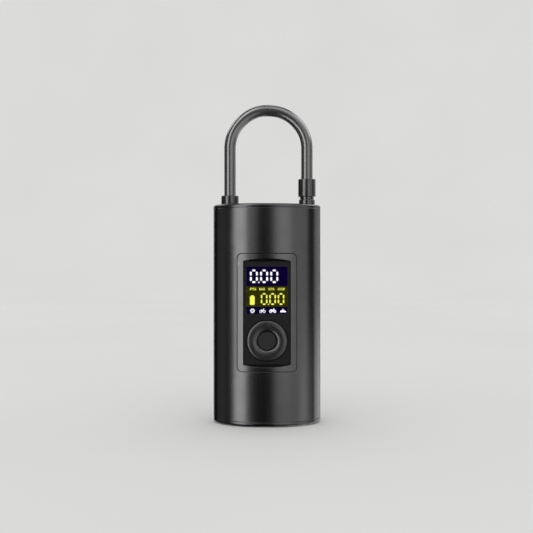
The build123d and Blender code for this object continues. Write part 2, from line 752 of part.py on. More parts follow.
def pressure_sensor():
    """Small sensor on the manifold's front face."""
    x = HOSE_LEFT_X
    low = MANIFOLD_Z - 2.6
    body = block((x - 3.2, -8.2, low), (x + 3.2, -4.9, low + 6))
    return body + bar_y(1.2, -4.9, -4.5, x, MANIFOLD_Z)


# ---- lamp and charging port -----------------------------------------------------------------
def lamp_lens():
    """Frosted lens of the work lamp, in the top cap."""
    gap = 2 * LENS_GAP
    lens = slot_block(
        LAMP_WIDTH - gap, LAMP_DEPTH - gap, LAMP_Y, SLEEVE_HIGH_Z - 0.4, BODY_HEIGHT
    )
    return lens


def lamp_board():
    """Small board with two lamps under the lens."""
    top = SLEEVE_HIGH_Z - 2.4
    board = slot_block(LAMP_WIDTH - 0.1, LAMP_DEPTH - 0.1, LAMP_Y, top - 1.0, top)
    for x in (-4.0, 4.0):
        board += block((x - 1.4, LAMP_Y - 1.4, top), (x + 1.4, LAMP_Y + 1.4, top + 0.8))
    return board


def usb_c_port():
    """Charging receptacle: a metal shell with its tongue."""
    low, high = USB_LOW_Z, USB_LOW_Z + USB_LENGTH
    gap = 2 * LENS_GAP
    wall = 0.35
    shell = slot_block(USB_WIDTH - gap, USB_DEPTH - gap, USB_Y, low, high)
    inside_width = USB_WIDTH - gap - 2 * wall
    inside_depth = USB_DEPTH - gap - 2 * wall
    shell -= slot_block(inside_width, inside_depth, USB_Y, low + 1.0, high)
    return shell + block((-3.3, USB_Y - 0.35, low), (3.3, USB_Y + 0.35, high - 0.8))


def charge_board():
    """Board that carries the charging port."""
    half = USB_POST_X + 1.0
    low = USB_LOW_Z - 1.2
    return block((-half, USB_Y - 3.6, low), (half, USB_Y + 3.6, USB_LOW_Z))


# ---- frame and power pack -------------------------------------------------------------------
FRAME_X, FRAME_Y = INNER_X - FIT, INNER_Y - FIT
FRAME_WALL = 1.4
FRAME_CUT_Y = 7.5
FRAME_FRONT_Y = BOARD_BACK_Y + 1.2
FRAME_LOW_Z = SLEEVE_LOW_Z + 2.2
FLOOR_HIGH_Z = CELL_LOW_Z - STRAP_THICK
SHELF_LOW_Z = CELL_LOW_Z + CELL_LENGTH + 2 * STRAP_THICK + 0.1
SHELF_THICK = 1.2
LUG_LOW_Z = BASE_LOW_Z - 4.0
BOARD_LEFT_X, BOARD_RIGHT_X, MAIN_BOARD_Y = -3.5, 27.0, 6.0
BOARD_TOP_Z = LUG_LOW_Z - 0.6
BOARD_RIB_X = (3.0, 23.0)
LEAD_RADIUS = 0.8
LEAD_PLACE = (-9.7, -5.4)  # the long lead beside the cells
LEAD_UP = (-2.0, -8.6)  # where it passes the shelf
LEAD_SHORT = (22.0, 3.6)
SOCKET_LOW_Z = SHELF_LOW_Z + SHELF_THICK + 3.0


def inner_frame():
    """Plastic spine: battery floor and saddles, shelf, outer walls and lugs for the pump."""
    inside = oval(FRAME_X, FRAME_Y, 0, FAR)
    shelf_high = SHELF_LOW_Z + SHELF_THICK
    wall = oval(FRAME_X, FRAME_Y, FRAME_LOW_Z, BASE_LOW_Z)
    wall -= oval(FRAME_X - FRAME_WALL, FRAME_Y - FRAME_WALL, FRAME_LOW_Z, BASE_LOW_Z)
    frame = wall & block((-FAR, FRAME_CUT_Y, 0), (FAR, FAR, FAR))
    frame += wall & block((-FAR, FRAME_FRONT_Y, SHELF_LOW_Z), (FAR, FAR, FAR))
    frame += oval(FRAME_X, FRAME_Y, FRAME_LOW_Z, FLOOR_HIGH_Z)
    frame += inside & block((-FAR, FRAME_FRONT_Y, SHELF_LOW_Z), (FAR, FAR, shelf_high))
    for share in (0.28, 0.72):
        z = CELL_LOW_Z + share * CELL_LENGTH
        frame += inside & block((-FAR, CELL_Y - 4, z - 1), (FAR, FAR, z + 1))
    for x in BOARD_RIB_X:
        rib = block((x - 0.8, MAIN_BOARD_Y + 1.6, shelf_high), (x + 0.8, FAR, BOARD_TOP_Z))
        frame += inside & rib
    for x, y in POST_PLACES:
        frame += inside & rod(POST_RADIUS + 0.8, LUG_LOW_Z, BASE_LOW_Z, x, y)
        web = block((x - 1.2, y, LUG_LOW_Z), (x + 1.2, FAR, BASE_LOW_Z))
        if y < 0:
            web = block((x, y - 1.2, LUG_LOW_Z), (FAR, y + 1.2, BASE_LOW_Z))
        frame += inside & web
    for x, y in POST_PLACES:
        frame -= rod(TIE_RADIUS + SCREW_GAP, LUG_LOW_Z, BASE_LOW_Z, x, y)
        frame -= rod(TIE_HEAD_RADIUS + SCREW_GAP, LUG_LOW_Z - 6, LUG_LOW_Z, x, y)
    for x, y in BOTTOM_SCREWS:
        frame += rod(2.4, SLEEVE_LOW_Z, FRAME_LOW_Z, x, y)
    for x, y in BOTTOM_SCREWS:
        frame -= rod(TIE_RADIUS, SLEEVE_LOW_Z, FLOOR_HIGH_Z, x, y)
    frame -= vents(FRAME_LOW_Z, FLOOR_HIGH_Z)
    frame -= rod(LEAD_RADIUS + 0.4, SHELF_LOW_Z, shelf_high, *LEAD_UP)
    frame -= rod(LEAD_RADIUS + 0.4, SHELF_LOW_Z, shelf_high, *LEAD_SHORT)
    for place in (-1, 0, 1):
        x = place * CELL_PITCH
        frame -= rod(CELL_RADIUS + 0.1, FLOOR_HIGH_Z, SHELF_LOW_Z, x, CELL_Y)
    return frame - rod(MOTOR_RADIUS + 0.4, MOTOR_LOW_Z - 2, BASE_LOW_Z, MOTOR_X, GEARS_Y)


def battery_cells():
    """Three round cells, each with its raised positive end."""
    high = CELL_LOW_Z + CELL_LENGTH
    cells = []
    for place in (-1, 0, 1):
        x = place * CELL_PITCH
        can = rod(CELL_RADIUS, CELL_LOW_Z, high - 0.8, x, CELL_Y)
        cells.append(can + rod(3.0, high - 0.8, high, x, CELL_Y))
    return cells


def cell_straps():
    """Nickel straps that join the cells in series, and the tab of the long lead."""
    high = CELL_LOW_Z + CELL_LENGTH
    low = CELL_LOW_Z - STRAP_THICK
    half = 3.5
    tab_x = LEAD_PLACE[0]
    runs = [
        (-CELL_PITCH - half, half, high, -half),
        (-half, CELL_PITCH + half, low, -half),
        (-CELL_PITCH - half, tab_x + 1.4, low, LEAD_PLACE[1] - 1.4 - CELL_Y),
    ]
    return [
        block((a, CELL_Y + front, z), (b, CELL_Y + half, z + STRAP_THICK))
        for a, b, z, front in runs
    ]




def main_board():
    """Control board beside the motor."""
    low = (BOARD_LEFT_X, MAIN_BOARD_Y, SHELF_LOW_Z + SHELF_THICK + 0.2)
    return block(low, (BOARD_RIGHT_X, MAIN_BOARD_Y + 1.6, BOARD_TOP_Z))


def board_parts():
    """Coil, capacitors, chip and sockets on the control board's front."""
    face, low = MAIN_BOARD_Y, SHELF_LOW_Z + SHELF_THICK + 2.0
    parts = [block((1, face - 5, low), (9, face, low + 8))]
    parts.append(block((12, face - 1.4, low + 1), (19, face, low + 8)))
    parts.append(block((20, face - 4.0, SOCKET_LOW_Z), (26, face, SOCKET_LOW_Z + 8)))
    for n in range(3):
        x = 1.0 + 6.5 * n
        parts.append(bar_y(2.5, face - 7.0, face, x, low + 13))
    return parts


# ---- motor ----------------------------------------------------------------------------------
def motor_can():
    """Drawn steel can with its front boss."""
    low = MOTOR_LOW_Z + END_CAP_HEIGHT
    x, y = MOTOR_X, GEARS_Y
    can = rod(MOTOR_RADIUS, low, BASE_LOW_Z, x, y)
    can -= rod(MOTOR_RADIUS - CAN_WALL, low, BASE_LOW_Z - CAN_WALL, x, y)
    can += rod(BOSS_RADIUS, BASE_LOW_Z, BASE_LOW_Z + BOSS_HEIGHT, x, y)
    can -= rod(BUSH_RADIUS, BASE_LOW_Z - CAN_WALL, BASE_LOW_Z + BOSS_HEIGHT, x, y)
    for side in (-1, 1):
        can -= rod(1.0, BASE_LOW_Z - CAN_WALL, BASE_LOW_Z, x, y + side * MOTOR_SCREW)
    return can


BOSS_RADIUS, BOSS_HEIGHT, BUSH_RADIUS, MOTOR_SCREW = 4.0, 1.4, 2.6, 8.0


def motor_bushings():
    """Front and rear plain bearings of the shaft."""
    x, y = MOTOR_X, GEARS_Y
    bore = SHAFT_RADIUS + RUNNING
    front_low = BASE_LOW_Z - CAN_WALL
    front = tube(BUSH_RADIUS, bore, front_low, BASE_LOW_Z + BOSS_HEIGHT, x, y)
    rear = tube(BUSH_RADIUS, bore, MOTOR_LOW_Z + 0.6, MOTOR_LOW_Z + END_CAP_HEIGHT, x, y)
    return [front, rear]


def motor_end_cap():
    """Plastic end plate that closes the can and carries the terminals."""
    x, y = MOTOR_X, GEARS_Y
    high = MOTOR_LOW_Z + END_CAP_HEIGHT
    cap = rod(MOTOR_RADIUS, MOTOR_LOW_Z, high, x, y)
    return cap - rod(BUSH_RADIUS, MOTOR_LOW_Z + 0.6, high, x, y)


def motor_magnets():
    """Two arc magnets inside the can."""
    outer, inner = MOTOR_RADIUS - CAN_WALL, 8.9
    low, high = MOTOR_LOW_Z + 7.5, BASE_LOW_Z - 3.5
    ring = tube(outer, inner, low, high, MOTOR_X, GEARS_Y)
    gap = block(
        (MOTOR_X - 3.5, GEARS_Y - 20, low - 1), (MOTOR_X + 3.5, GEARS_Y + 20, high + 1)
    )
    return ring - gap


def armature():
    """Slotted rotor with windings and commutator."""
    x, y = MOTOR_X, GEARS_Y
    core = rod(8.4, MOTOR_LOW_Z + 8.0, BASE_LOW_Z - 4.5, x, y)
    for n in range(3):
        slot = Rot(0, 0, 120 * n) * Pos(7.4, 0, 0) * Box(5, 1.6, FAR)
        core -= Pos(x, y, MOTOR_LOW_Z) * slot
    core += rod(3.0, MOTOR_LOW_Z + END_CAP_HEIGHT + 0.6, MOTOR_LOW_Z + 8.0, x, y)
    return core - rod(SHAFT_RADIUS, 0, FAR, x, y)


def motor_shaft():
    """Steel shaft, from the rear bush to the pinion."""
    return rod(SHAFT_RADIUS, MOTOR_LOW_Z + 0.8, GEAR_HIGH_Z + 0.8, MOTOR_X, GEARS_Y)


def pinion():
    """Pinion on the motor shaft."""
    return gear(
        PINION_TEETH, SHAFT_RADIUS, GEAR_LOW_Z - 0.3, GEAR_HIGH_Z + 0.3, MOTOR_X, GEARS_Y, 0
    )


# ---- pump -----------------------------------------------------------------------------------
def pump_base():
    """Cast plate with the wheel's pin; it carries the motor and the cylinder."""
    plate = oval(INNER_X - 2.0, INNER_Y - 1.5, BASE_LOW_Z, BASE_HIGH_Z)
    plate &= block((-FAR, FRAME_FRONT_Y, 0), (FAR, FAR, FAR))
    plate -= rod(BOSS_RADIUS + 0.1, BASE_LOW_Z, BASE_HIGH_Z, MOTOR_X, GEARS_Y)
    plate += rod(AXLE_RADIUS, BASE_LOW_Z, DISC_HIGH_Z, CRANK_X, GEARS_Y)
    for side in (-1, 1):
        y = GEARS_Y + side * MOTOR_SCREW
        plate -= rod(1.0 + SCREW_GAP, BASE_LOW_Z, BASE_HIGH_Z, MOTOR_X, y)
    for x, y in POST_PLACES:
        plate -= rod(TIE_RADIUS + SCREW_GAP, BASE_LOW_Z, BASE_HIGH_Z, x, y)
    return plate


def motor_screws():
    """Two screws that hold the motor to the base."""
    screws = []
    for side in (-1, 1):
        y = GEARS_Y + side * MOTOR_SCREW
        screw = rod(1.0, BASE_LOW_Z - CAN_WALL, BASE_HIGH_Z, MOTOR_X, y)
        screws.append(screw + rod(1.8, BASE_HIGH_Z, BASE_HIGH_Z + 1.2, MOTOR_X, y))
    return screws


def post_sleeves():
    """Spacers between the pump base and the top cap."""
    bore = TIE_RADIUS + SCREW_GAP
    return [tube(POST_RADIUS, bore, BASE_HIGH_Z, BOSS_LOW_Z, x, y) for x, y in POST_PLACES]


def tie_screws():
    """Long screws that pull frame, base, spacers and top cap together."""
    screws = []
    for x, y in POST_PLACES:
        screw = rod(TIE_RADIUS, LUG_LOW_Z, BOSS_LOW_Z + 6, x, y)
        screws.append(screw + rod(TIE_HEAD_RADIUS, LUG_LOW_Z - 1.4, LUG_LOW_Z, x, y))
    return screws


def drive_wheel():
    """Large gear, turned half a tooth so that it meshes at rest."""
    half_tooth = 180 / WHEEL_TEETH
    bore = AXLE_RADIUS + RUNNING
    return gear(WHEEL_TEETH, bore, GEAR_LOW_Z, GEAR_HIGH_Z, CRANK_X, GEARS_Y, half_tooth)


def crank_disc():
    """Counterweighted disc on the gear, opposite the crank pin."""
    disc = tube(9.5, AXLE_RADIUS + RUNNING, GEAR_HIGH_Z, DISC_HIGH_Z, CRANK_X, GEARS_Y)
    trim = block(
        (CRANK_X - 20, GEARS_Y + 3.2, 0), (CRANK_X - CRANK_RADIUS + 1, GEARS_Y + 20, FAR)
    )
    other = Pos(0, 2 * GEARS_Y, 0) * mirror(trim, about=Plane.XZ)
    return disc - trim - other


def crank_pin():
    """Pin pressed into the rod's bearing."""
    return rod(CRANK_PIN_RADIUS, ROD_LOW_Z, ROD_LOW_Z + ROD_THICK + 0.6, PIN_X, GEARS_Y)


def rod_bearing():
    """Ball bearing of the big end, as its two races."""
    low, high = ROD_LOW_Z + 0.5, ROD_LOW_Z + ROD_THICK - 0.5
    inner = tube(CRANK_PIN_RADIUS + 0.8, CRANK_PIN_RADIUS, low, high, PIN_X, GEARS_Y)
    outer = tube(BEARING_RADIUS, BEARING_RADIUS - 0.8, low, high, PIN_X, GEARS_Y)
    return [inner, outer]


def connecting_rod():
    """Rod with its big end and the piston in one piece."""
    high = ROD_LOW_Z + ROD_THICK
    big_end = rod(BIG_END_RADIUS, ROD_LOW_Z, high, PIN_X, GEARS_Y)
    face = PISTON_X + PISTON_THICK / 2
    beam = block(
        (PIN_X, GEARS_Y - 2.0, ROD_LOW_Z + 0.6), (PISTON_X, GEARS_Y + 2.0, high - 0.6)
    )
    head = bar_x(CYLINDER_BORE - 0.5, face - PISTON_THICK, face, GEARS_Y, PUMP_Z)
    groove = bar_x(CYLINDER_BORE, face - 2.2, face - 1.0, GEARS_Y, PUMP_Z)
    groove -= bar_x(CYLINDER_BORE - 1.4, face - 2.2, face - 1.0, GEARS_Y, PUMP_Z)
    bearing_seat = rod(BEARING_RADIUS, 0, FAR, PIN_X, GEARS_Y)
    return big_end + beam + head - groove - bearing_seat


def piston_ring():
    """Sealing ring in the piston's groove."""
    face = PISTON_X + PISTON_THICK / 2
    ring = bar_x(CYLINDER_BORE - RUNNING, face - 2.2, face - 1.0, GEARS_Y, PUMP_Z)
    return ring - bar_x(CYLINDER_BORE - 1.4, face - 2.2, face - 1.0, GEARS_Y, PUMP_Z)


PLATE_HIGH_X = CYLINDER_HIGH_X + VALVE_PLATE_THICK
HEAD_HIGH_X = PLATE_HIGH_X + HEAD_THICK
VALVE_OFFSET = 3.0
HEAD_SCREWS = [
    (GEARS_Y + side * HEAD_SCREW_REACH, PUMP_Z + z)
    for side in (-1, 1)
    for z in (-HEAD_SCREW_DROP, HEAD_SCREW_REACH)
]


def flange_plate(low, high):
    """The square outline shared by cylinder flange, valve plate and head."""
    bottom, top = BASE_HIGH_Z + 0.1, PUMP_Z + FLANGE_HALF_WIDTH
    face = Plane((low, GEARS_Y, (bottom + top) / 2), x_dir=(0, 1, 0), z_dir=(1, 0, 0))
    outline = RectangleRounded(2 * FLANGE_HALF_WIDTH, top - bottom, 1.6)
    return extrude(face * outline, high - low)


def cylinder():
    """Finned cylinder lying on the base."""
    low, high = CYLINDER_LOW_X, CYLINDER_HIGH_X
    body = bar_x(CYLINDER_BORE + CYLINDER_WALL, low, high, GEARS_Y, PUMP_Z)
    pitch = (high - low) / FIN_COUNT
    for n in range(FIN_COUNT - 1):
        start = low + pitch * (n + 1) - FIN_THICK
        body += bar_x(FIN_RADIUS, start, start + FIN_THICK, GEARS_Y, PUMP_Z)
    body &= block((0, -FAR, BASE_HIGH_Z), (FAR, FAR, FAR))
    body += flange_plate(high - FIN_THICK, high)
    for y, z in HEAD_SCREWS:
        body -= bar_x(0.8, low, high, y, z)
    return body - bar_x(CYLINDER_BORE, low, high, GEARS_Y, PUMP_Z)


def valve_plate():
    """Thin steel plate with the inlet and outlet ports."""
    low, high = CYLINDER_HIGH_X, PLATE_HIGH_X
    plate = flange_plate(low, high)
    for side in (-1, 1):
        plate -= bar_x(1.2, low, high, GEARS_Y + side * VALVE_OFFSET, PUMP_Z)
    for y, z in HEAD_SCREWS:
        plate -= bar_x(0.8, low, high, y, z)
    return plate


def reed_valves():
    """Spring-steel flaps: the inlet's inside the cylinder, the outlet's inside the head."""
    inlet = bar_x(
        2.0, CYLINDER_HIGH_X - 0.3, CYLINDER_HIGH_X, GEARS_Y - VALVE_OFFSET, PUMP_Z
    )
    outlet = bar_x(2.0, PLATE_HIGH_X, PLATE_HIGH_X + 0.3, GEARS_Y + VALVE_OFFSET, PUMP_Z)
    return [inlet, outlet]


def cylinder_head():
    """Head with an inlet chamber, an outlet chamber and the outlet's tower and barb."""
    low, high = PLATE_HIGH_X, HEAD_HIGH_X
    bend_x = low + 1.4
    head = flange_plate(low, high)
    head += block((low, PORT_Y - 2.2, PUMP_Z), (high, PORT_Y + 2.2, PORT_Z + 2.2))
    head += bar_x(TUBE_BORE, CYLINDER_HIGH_X - 5.5, low, PORT_Y, PORT_Z)
    for side in (-1, 1):
        head -= bar_x(2.4, low, low + 1.8, GEARS_Y + side * VALVE_OFFSET, PUMP_Z)
    head -= bar_x(0.9, low, high, GEARS_Y - VALVE_OFFSET, PUMP_Z)
    head -= rod(0.9, PUMP_Z, PORT_Z, bend_x, PORT_Y)
    head -= bar_x(0.9, 0, bend_x, PORT_Y, PORT_Z)
    for y, z in HEAD_SCREWS:
        head -= bar_x(0.8, low, high, y, z)
    return head


def head_screws():
    """Four screws through the head, the plate and the cylinder's flange."""
    screws = []
    for y, z in HEAD_SCREWS:
        shank = bar_x(0.8, CYLINDER_HIGH_X - FIN_THICK, HEAD_HIGH_X, y, z)
        screws.append(shank + bar_x(1.4, HEAD_HIGH_X, HEAD_HIGH_X + 0.7, y, z))
    return screws


def bottom_screws():
    """Four screws that hold the bottom cap to the frame."""
    screws = []
    for x, y in BOTTOM_SCREWS:
        low, high = FOOT_STAND + 0.1, FOOT_STAND + FOOT_SINK
        head = rod(TIE_HEAD_RADIUS, low, high, x, y)
        cross = Box(2.2, 0.5, 0.9) + Box(0.5, 2.2, 0.9)
        head -= Pos(x, y, low) * cross
        screws.append(head + rod(TIE_RADIUS, high, FLOOR_HIGH_Z - 0.1, x, y))
    return screws


# ---- wiring ---------------------------------------------------------------------------------
def leads():
    """Leads from the power pack to the control board, and from there to the motor."""
    high = CELL_LOW_Z + CELL_LENGTH
    x, y = LEAD_UP
    plug_y, plug_z = MAIN_BOARD_Y - 4.0, SOCKET_LOW_Z + 4.0
    long_lead = [
        (*LEAD_PLACE, CELL_LOW_Z),
        (*LEAD_PLACE, high - 14),
        (x, y, high - 6),
        (x, y, plug_z),
        (24.0, y, plug_z),
        (24.0, plug_y, plug_z),
    ]
    short_lead = rod(LEAD_RADIUS, high, SOCKET_LOW_Z, *LEAD_SHORT)
    wires = [route_tube(long_lead, LEAD_RADIUS), short_lead]
    for z in (MOTOR_LOW_Z + 0.9, MOTOR_LOW_Z + 2.5):
        start = MOTOR_X + MOTOR_RADIUS + 0.05
        to_motor = [(start, 2.0, z), (-1.2, 2.0, z), (-1.2, MAIN_BOARD_Y, z)]
        wires.append(route_tube(to_motor, 0.6))
    return wires


def display_ribbon():
    """Flat cable from the display board to the control board."""
    z = BOARD_TOP_Z - 3.5
    return block((8.0, BOARD_BACK_Y, z), (16.0, MAIN_BOARD_Y, z + 0.3))


NODES = {
    "housing_sleeve": housing_sleeve,
    "top_cap": top_cap,
    "bottom_cap": bottom_cap,
    "foot_pad": foot_pad,
    "window_bezel": window_bezel,
    "fascia_panel": fascia_panel,
    "display_lens": display_lens,
    "lcd_module": lcd_module,
    "control_ring": control_ring,
    "ring_gimbal": ring_gimbal,
    "centre_key": centre_key,
    "key_pad": key_pad,
    "display_board": display_board,
    "bezel_screws": bezel_screws,
    "key_switches": key_switches,
    "hose": hose,
    "hose_collar": hose_collar,
    "stow_bushing": stow_bushing,
    "chuck_nut": chuck_nut,
    "chuck_stem": chuck_stem,
    "chuck_gasket": chuck_gasket,
    "valve_depressor": valve_depressor,
    "hose_manifold": hose_manifold,
    "outlet_tube": outlet_tube,
    "pressure_sensor": pressure_sensor,
    "lamp_lens": lamp_lens,
    "lamp_board": lamp_board,
    "usb_c_port": usb_c_port,
    "charge_board": charge_board,
    "inner_frame": inner_frame,
    "battery_cells": battery_cells,
    "cell_straps": cell_straps,
    "main_board": main_board,
    "board_parts": board_parts,
    "leads": leads,
    "display_ribbon": display_ribbon,
    "motor_can": motor_can,
    "motor_bushings": motor_bushings,
    "motor_end_cap": motor_end_cap,
    "motor_magnets": motor_magnets,
    "armature": armature,
    "motor_shaft": motor_shaft,
    "pinion": pinion,
    "pump_base": pump_base,
    "motor_screws": motor_screws,
    "post_sleeves": post_sleeves,
    "tie_screws": tie_screws,
    "drive_wheel": drive_wheel,
    "crank_disc": crank_disc,
    "crank_pin": crank_pin,
    "rod_bearing": rod_bearing,
    "connecting_rod": connecting_rod,
    "piston_ring": piston_ring,
    "cylinder": cylinder,
    "valve_plate": valve_plate,
    "reed_valves": reed_valves,
    "cylinder_head": cylinder_head,
    "head_screws": head_screws,
    "bottom_screws": bottom_screws,
}


def main():
    """Writes one STEP file per sub-part."""
    os.makedirs("parts", exist_ok=True)
    for name, make in NODES.items():
        made = make()
        shape = Compound(children=list(made)) if isinstance(made, list) else made
        export_step(shape, f"parts/{name}.step")


if __name__ == "__main__":
    main()
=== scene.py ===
"""Looks of a hand-held air pump: an oval anodised body with a display panel and a stowed hose.

Metres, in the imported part's own frame. Each sub-assembly is a class; main() builds them in order.
"""

import json
import logging
import math
from dataclasses import dataclass, replace
from enum import Enum
from functools import lru_cache
from itertools import pairwise, product
from typing import Any, Sequence

import bmesh
import bpy
import numpy as np
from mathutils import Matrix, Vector


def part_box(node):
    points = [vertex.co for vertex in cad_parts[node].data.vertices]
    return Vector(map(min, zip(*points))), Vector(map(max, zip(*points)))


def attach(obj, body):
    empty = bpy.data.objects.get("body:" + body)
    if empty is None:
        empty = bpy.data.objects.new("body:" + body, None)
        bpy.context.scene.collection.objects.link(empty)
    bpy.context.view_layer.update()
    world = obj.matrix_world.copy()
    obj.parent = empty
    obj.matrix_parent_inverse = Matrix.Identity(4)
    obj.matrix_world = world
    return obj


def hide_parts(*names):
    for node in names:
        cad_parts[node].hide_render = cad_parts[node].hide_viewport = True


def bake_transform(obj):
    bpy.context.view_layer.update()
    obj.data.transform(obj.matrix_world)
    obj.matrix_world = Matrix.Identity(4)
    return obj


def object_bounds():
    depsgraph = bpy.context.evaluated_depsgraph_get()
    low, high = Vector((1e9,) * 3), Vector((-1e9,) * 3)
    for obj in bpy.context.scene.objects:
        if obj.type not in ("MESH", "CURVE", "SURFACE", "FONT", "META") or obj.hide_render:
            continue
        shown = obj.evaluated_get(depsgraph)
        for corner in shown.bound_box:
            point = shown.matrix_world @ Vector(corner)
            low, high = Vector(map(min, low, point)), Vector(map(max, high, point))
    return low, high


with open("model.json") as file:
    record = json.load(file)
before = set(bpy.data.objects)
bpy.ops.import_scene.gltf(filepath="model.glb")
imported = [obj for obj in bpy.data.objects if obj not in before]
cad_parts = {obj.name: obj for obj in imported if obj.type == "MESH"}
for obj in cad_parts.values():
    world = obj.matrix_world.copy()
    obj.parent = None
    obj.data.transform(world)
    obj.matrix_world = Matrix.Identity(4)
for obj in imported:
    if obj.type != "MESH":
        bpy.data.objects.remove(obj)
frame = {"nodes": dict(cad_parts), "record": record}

CAD_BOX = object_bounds()
MM = 0.001
TINY = 1e-7
NOISE_RANGE = (0.3, 0.7)
NOISE_ROUGHNESS = 0.55
# Painted highlight: the Pointiness span over which sharp edges are lightened.
EDGE_HIGHLIGHT_RANGE = (0.53, 0.62)
BUMP_DEPTH = 0.02 * MM
COAT_ROUGHNESS = 0.12
STROKE_STEPS = 17
STROKE_SIDES = 10
STROKE_FLATNESS = 0.08
TAPER_START = 0.6
Colour = tuple[float, float, float]
Point = tuple[float, float, float]
Flat = tuple[float, float]
Line = Sequence[Flat]
Piece = bpy.types.Object
Socket = bpy.types.NodeSocket
log = logging.getLogger("air_pump")


@lru_cache(maxsize=None)
def box(node: str) -> tuple[Vector, Vector]:
    """Lowest and highest corner of a CAD node at rest."""
    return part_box(node)


def middle(node: str) -> Point:
    """Middle of a CAD node's box."""
    return tuple((a + b) / 2 for a, b in zip(*box(node)))


def extent(node: str) -> Point:
    """Size of a CAD node's box."""
    return tuple(b - a for a, b in zip(*box(node)))


def mm(*values: float) -> tuple[float, ...]:
    """Millimetres, in metres."""
    return tuple(value * MM for value in values)


def even(start: float, end: float, steps: int) -> list[float]:
    """Evenly spaced values, both ends among them."""
    return [start + (end - start) * i / steps for i in range(steps + 1)]


# ---- finishes -------------------------------------------------------------------------------
class Grain(Enum):
    """Direction and kind of a surface's fine texture, as a stretch of its pattern."""

    EVEN = (1.0, 1.0, 1.0)
    DRAWN = (1.0, 1.0, 0.04)
    TURNED = (0.05, 0.05, 1.0)
    TURNED_ACROSS = (0.05, 1.0, 0.05)
    MOULDED = (0.8, 0.8, 0.8)


class Nodes:
    """A node tree that is being laid out and wired."""

    tree: bpy.types.NodeTree

    def add(
        self, kind: str, settings: dict[str, Any] | None = None, **inputs: Any
    ) -> bpy.types.Node:
        """Adds a node.

        Args:
            kind: the node's type name.
            settings: its own properties.
            inputs: what its sockets get, as for feed().

        Returns:
            The new node.
        """
        node = self.tree.nodes.new(kind)
        for name, value in (settings or {}).items():
            setattr(node, name, value)
        self.feed(node, **inputs)
        return node

    def feed(self, node: bpy.types.Node, **inputs: Any) -> None:
        """Gives a node's sockets what they need.

        Args:
            node: the node.
            inputs: a value or a socket for each, by name with underscores for spaces.
        """
        for name, value in inputs.items():
            self.give(node.inputs[name.replace("_", " ")], value)

    def give(self, socket: Socket, value: Any) -> None:
        """Sets a socket, or links it where the value is a socket itself.

        Args:
            socket: the socket that gets the value.
            value: a number, a colour, a name or another node's socket.
        """
        if isinstance(value, Socket):
            self.tree.links.new(value, socket)
        else:
            socket.default_value = value


class Bench(Nodes):
    """Lays out and wires the nodes of one material."""

    def __init__(self, name: str) -> None:
        """Starts a node material.

        Args:
            name: the material's name.
        """
        self.material = bpy.data.materials.new(name)
        self.material.use_nodes = True
        self.tree = self.material.node_tree
        self.tree.nodes.clear()
        self.surface = self.add("ShaderNodeBsdfPrincipled")
        self.add("ShaderNodeOutputMaterial", Surface=self.surface.outputs["BSDF"])

    def pattern(self, size: float, detail: float, grain: Grain = Grain.EVEN) -> Socket:
        """Adds a noise that follows the piece.

        Args:
            size: size of its features, in metres.
            detail: octaves of finer noise.
            grain: how it is stretched.

        Returns:
            The socket with the noise.
        """
        place = self.add("ShaderNodeTexCoord").outputs["Object"]
        laid = self.add("ShaderNodeMapping", Scale=grain.value, Vector=place).outputs["Vector"]
        return self.add(
            "ShaderNodeTexNoise", Scale=1.0 / size, Detail=detail, Roughness=NOISE_ROUGHNESS,
            Vector=laid,
        ).outputs["Fac"]

    def spread(self, source: Socket, low: float, high: float, span: Flat = NOISE_RANGE) -> Socket:
        """Maps a value onto a range.

        Args:
            source: socket with the value.
            low: result at the start of its span.
            high: result at the end.
            span: the source's lowest and highest value.

        Returns:
            The socket with the result.
        """
        return self.add(
            "ShaderNodeMapRange", Value=source, From_Min=span[0], From_Max=span[1], To_Min=low,
            To_Max=high,
        ).outputs["Result"]

    def tint(self, share: Socket, low: Colour | Socket, high: Colour) -> Socket:
        """Maps a value from 0 to 1 onto two colours.

        Args:
            share: socket with the value.
            low: colour at 0, or a socket with it.
            high: colour at 1.

        Returns:
            The socket with the colour.
        """
        mix = self.add("ShaderNodeMix", {"data_type": "RGBA"})
        self.give(mix.inputs[0], share)
        self.give(mix.inputs[6], low if isinstance(low, Socket) else (*low, 1.0))
        self.give(mix.inputs[7], (*high, 1.0))
        return mix.outputs[2]


@dataclass(frozen=True)
class Finish:
    """What a surface looks like; each kind of finish lays out its own nodes."""

    name: str
    colour: Colour

    def build(self) -> bpy.types.Material:
        """Makes the material, or returns it if it is there already."""
        return bpy.data.materials.get(self.name) or self.lay_out(Bench(self.name))

    def lay_out(self, bench: Bench) -> bpy.types.Material:
        """Lays out the nodes on the material's bench."""
        raise NotImplementedError


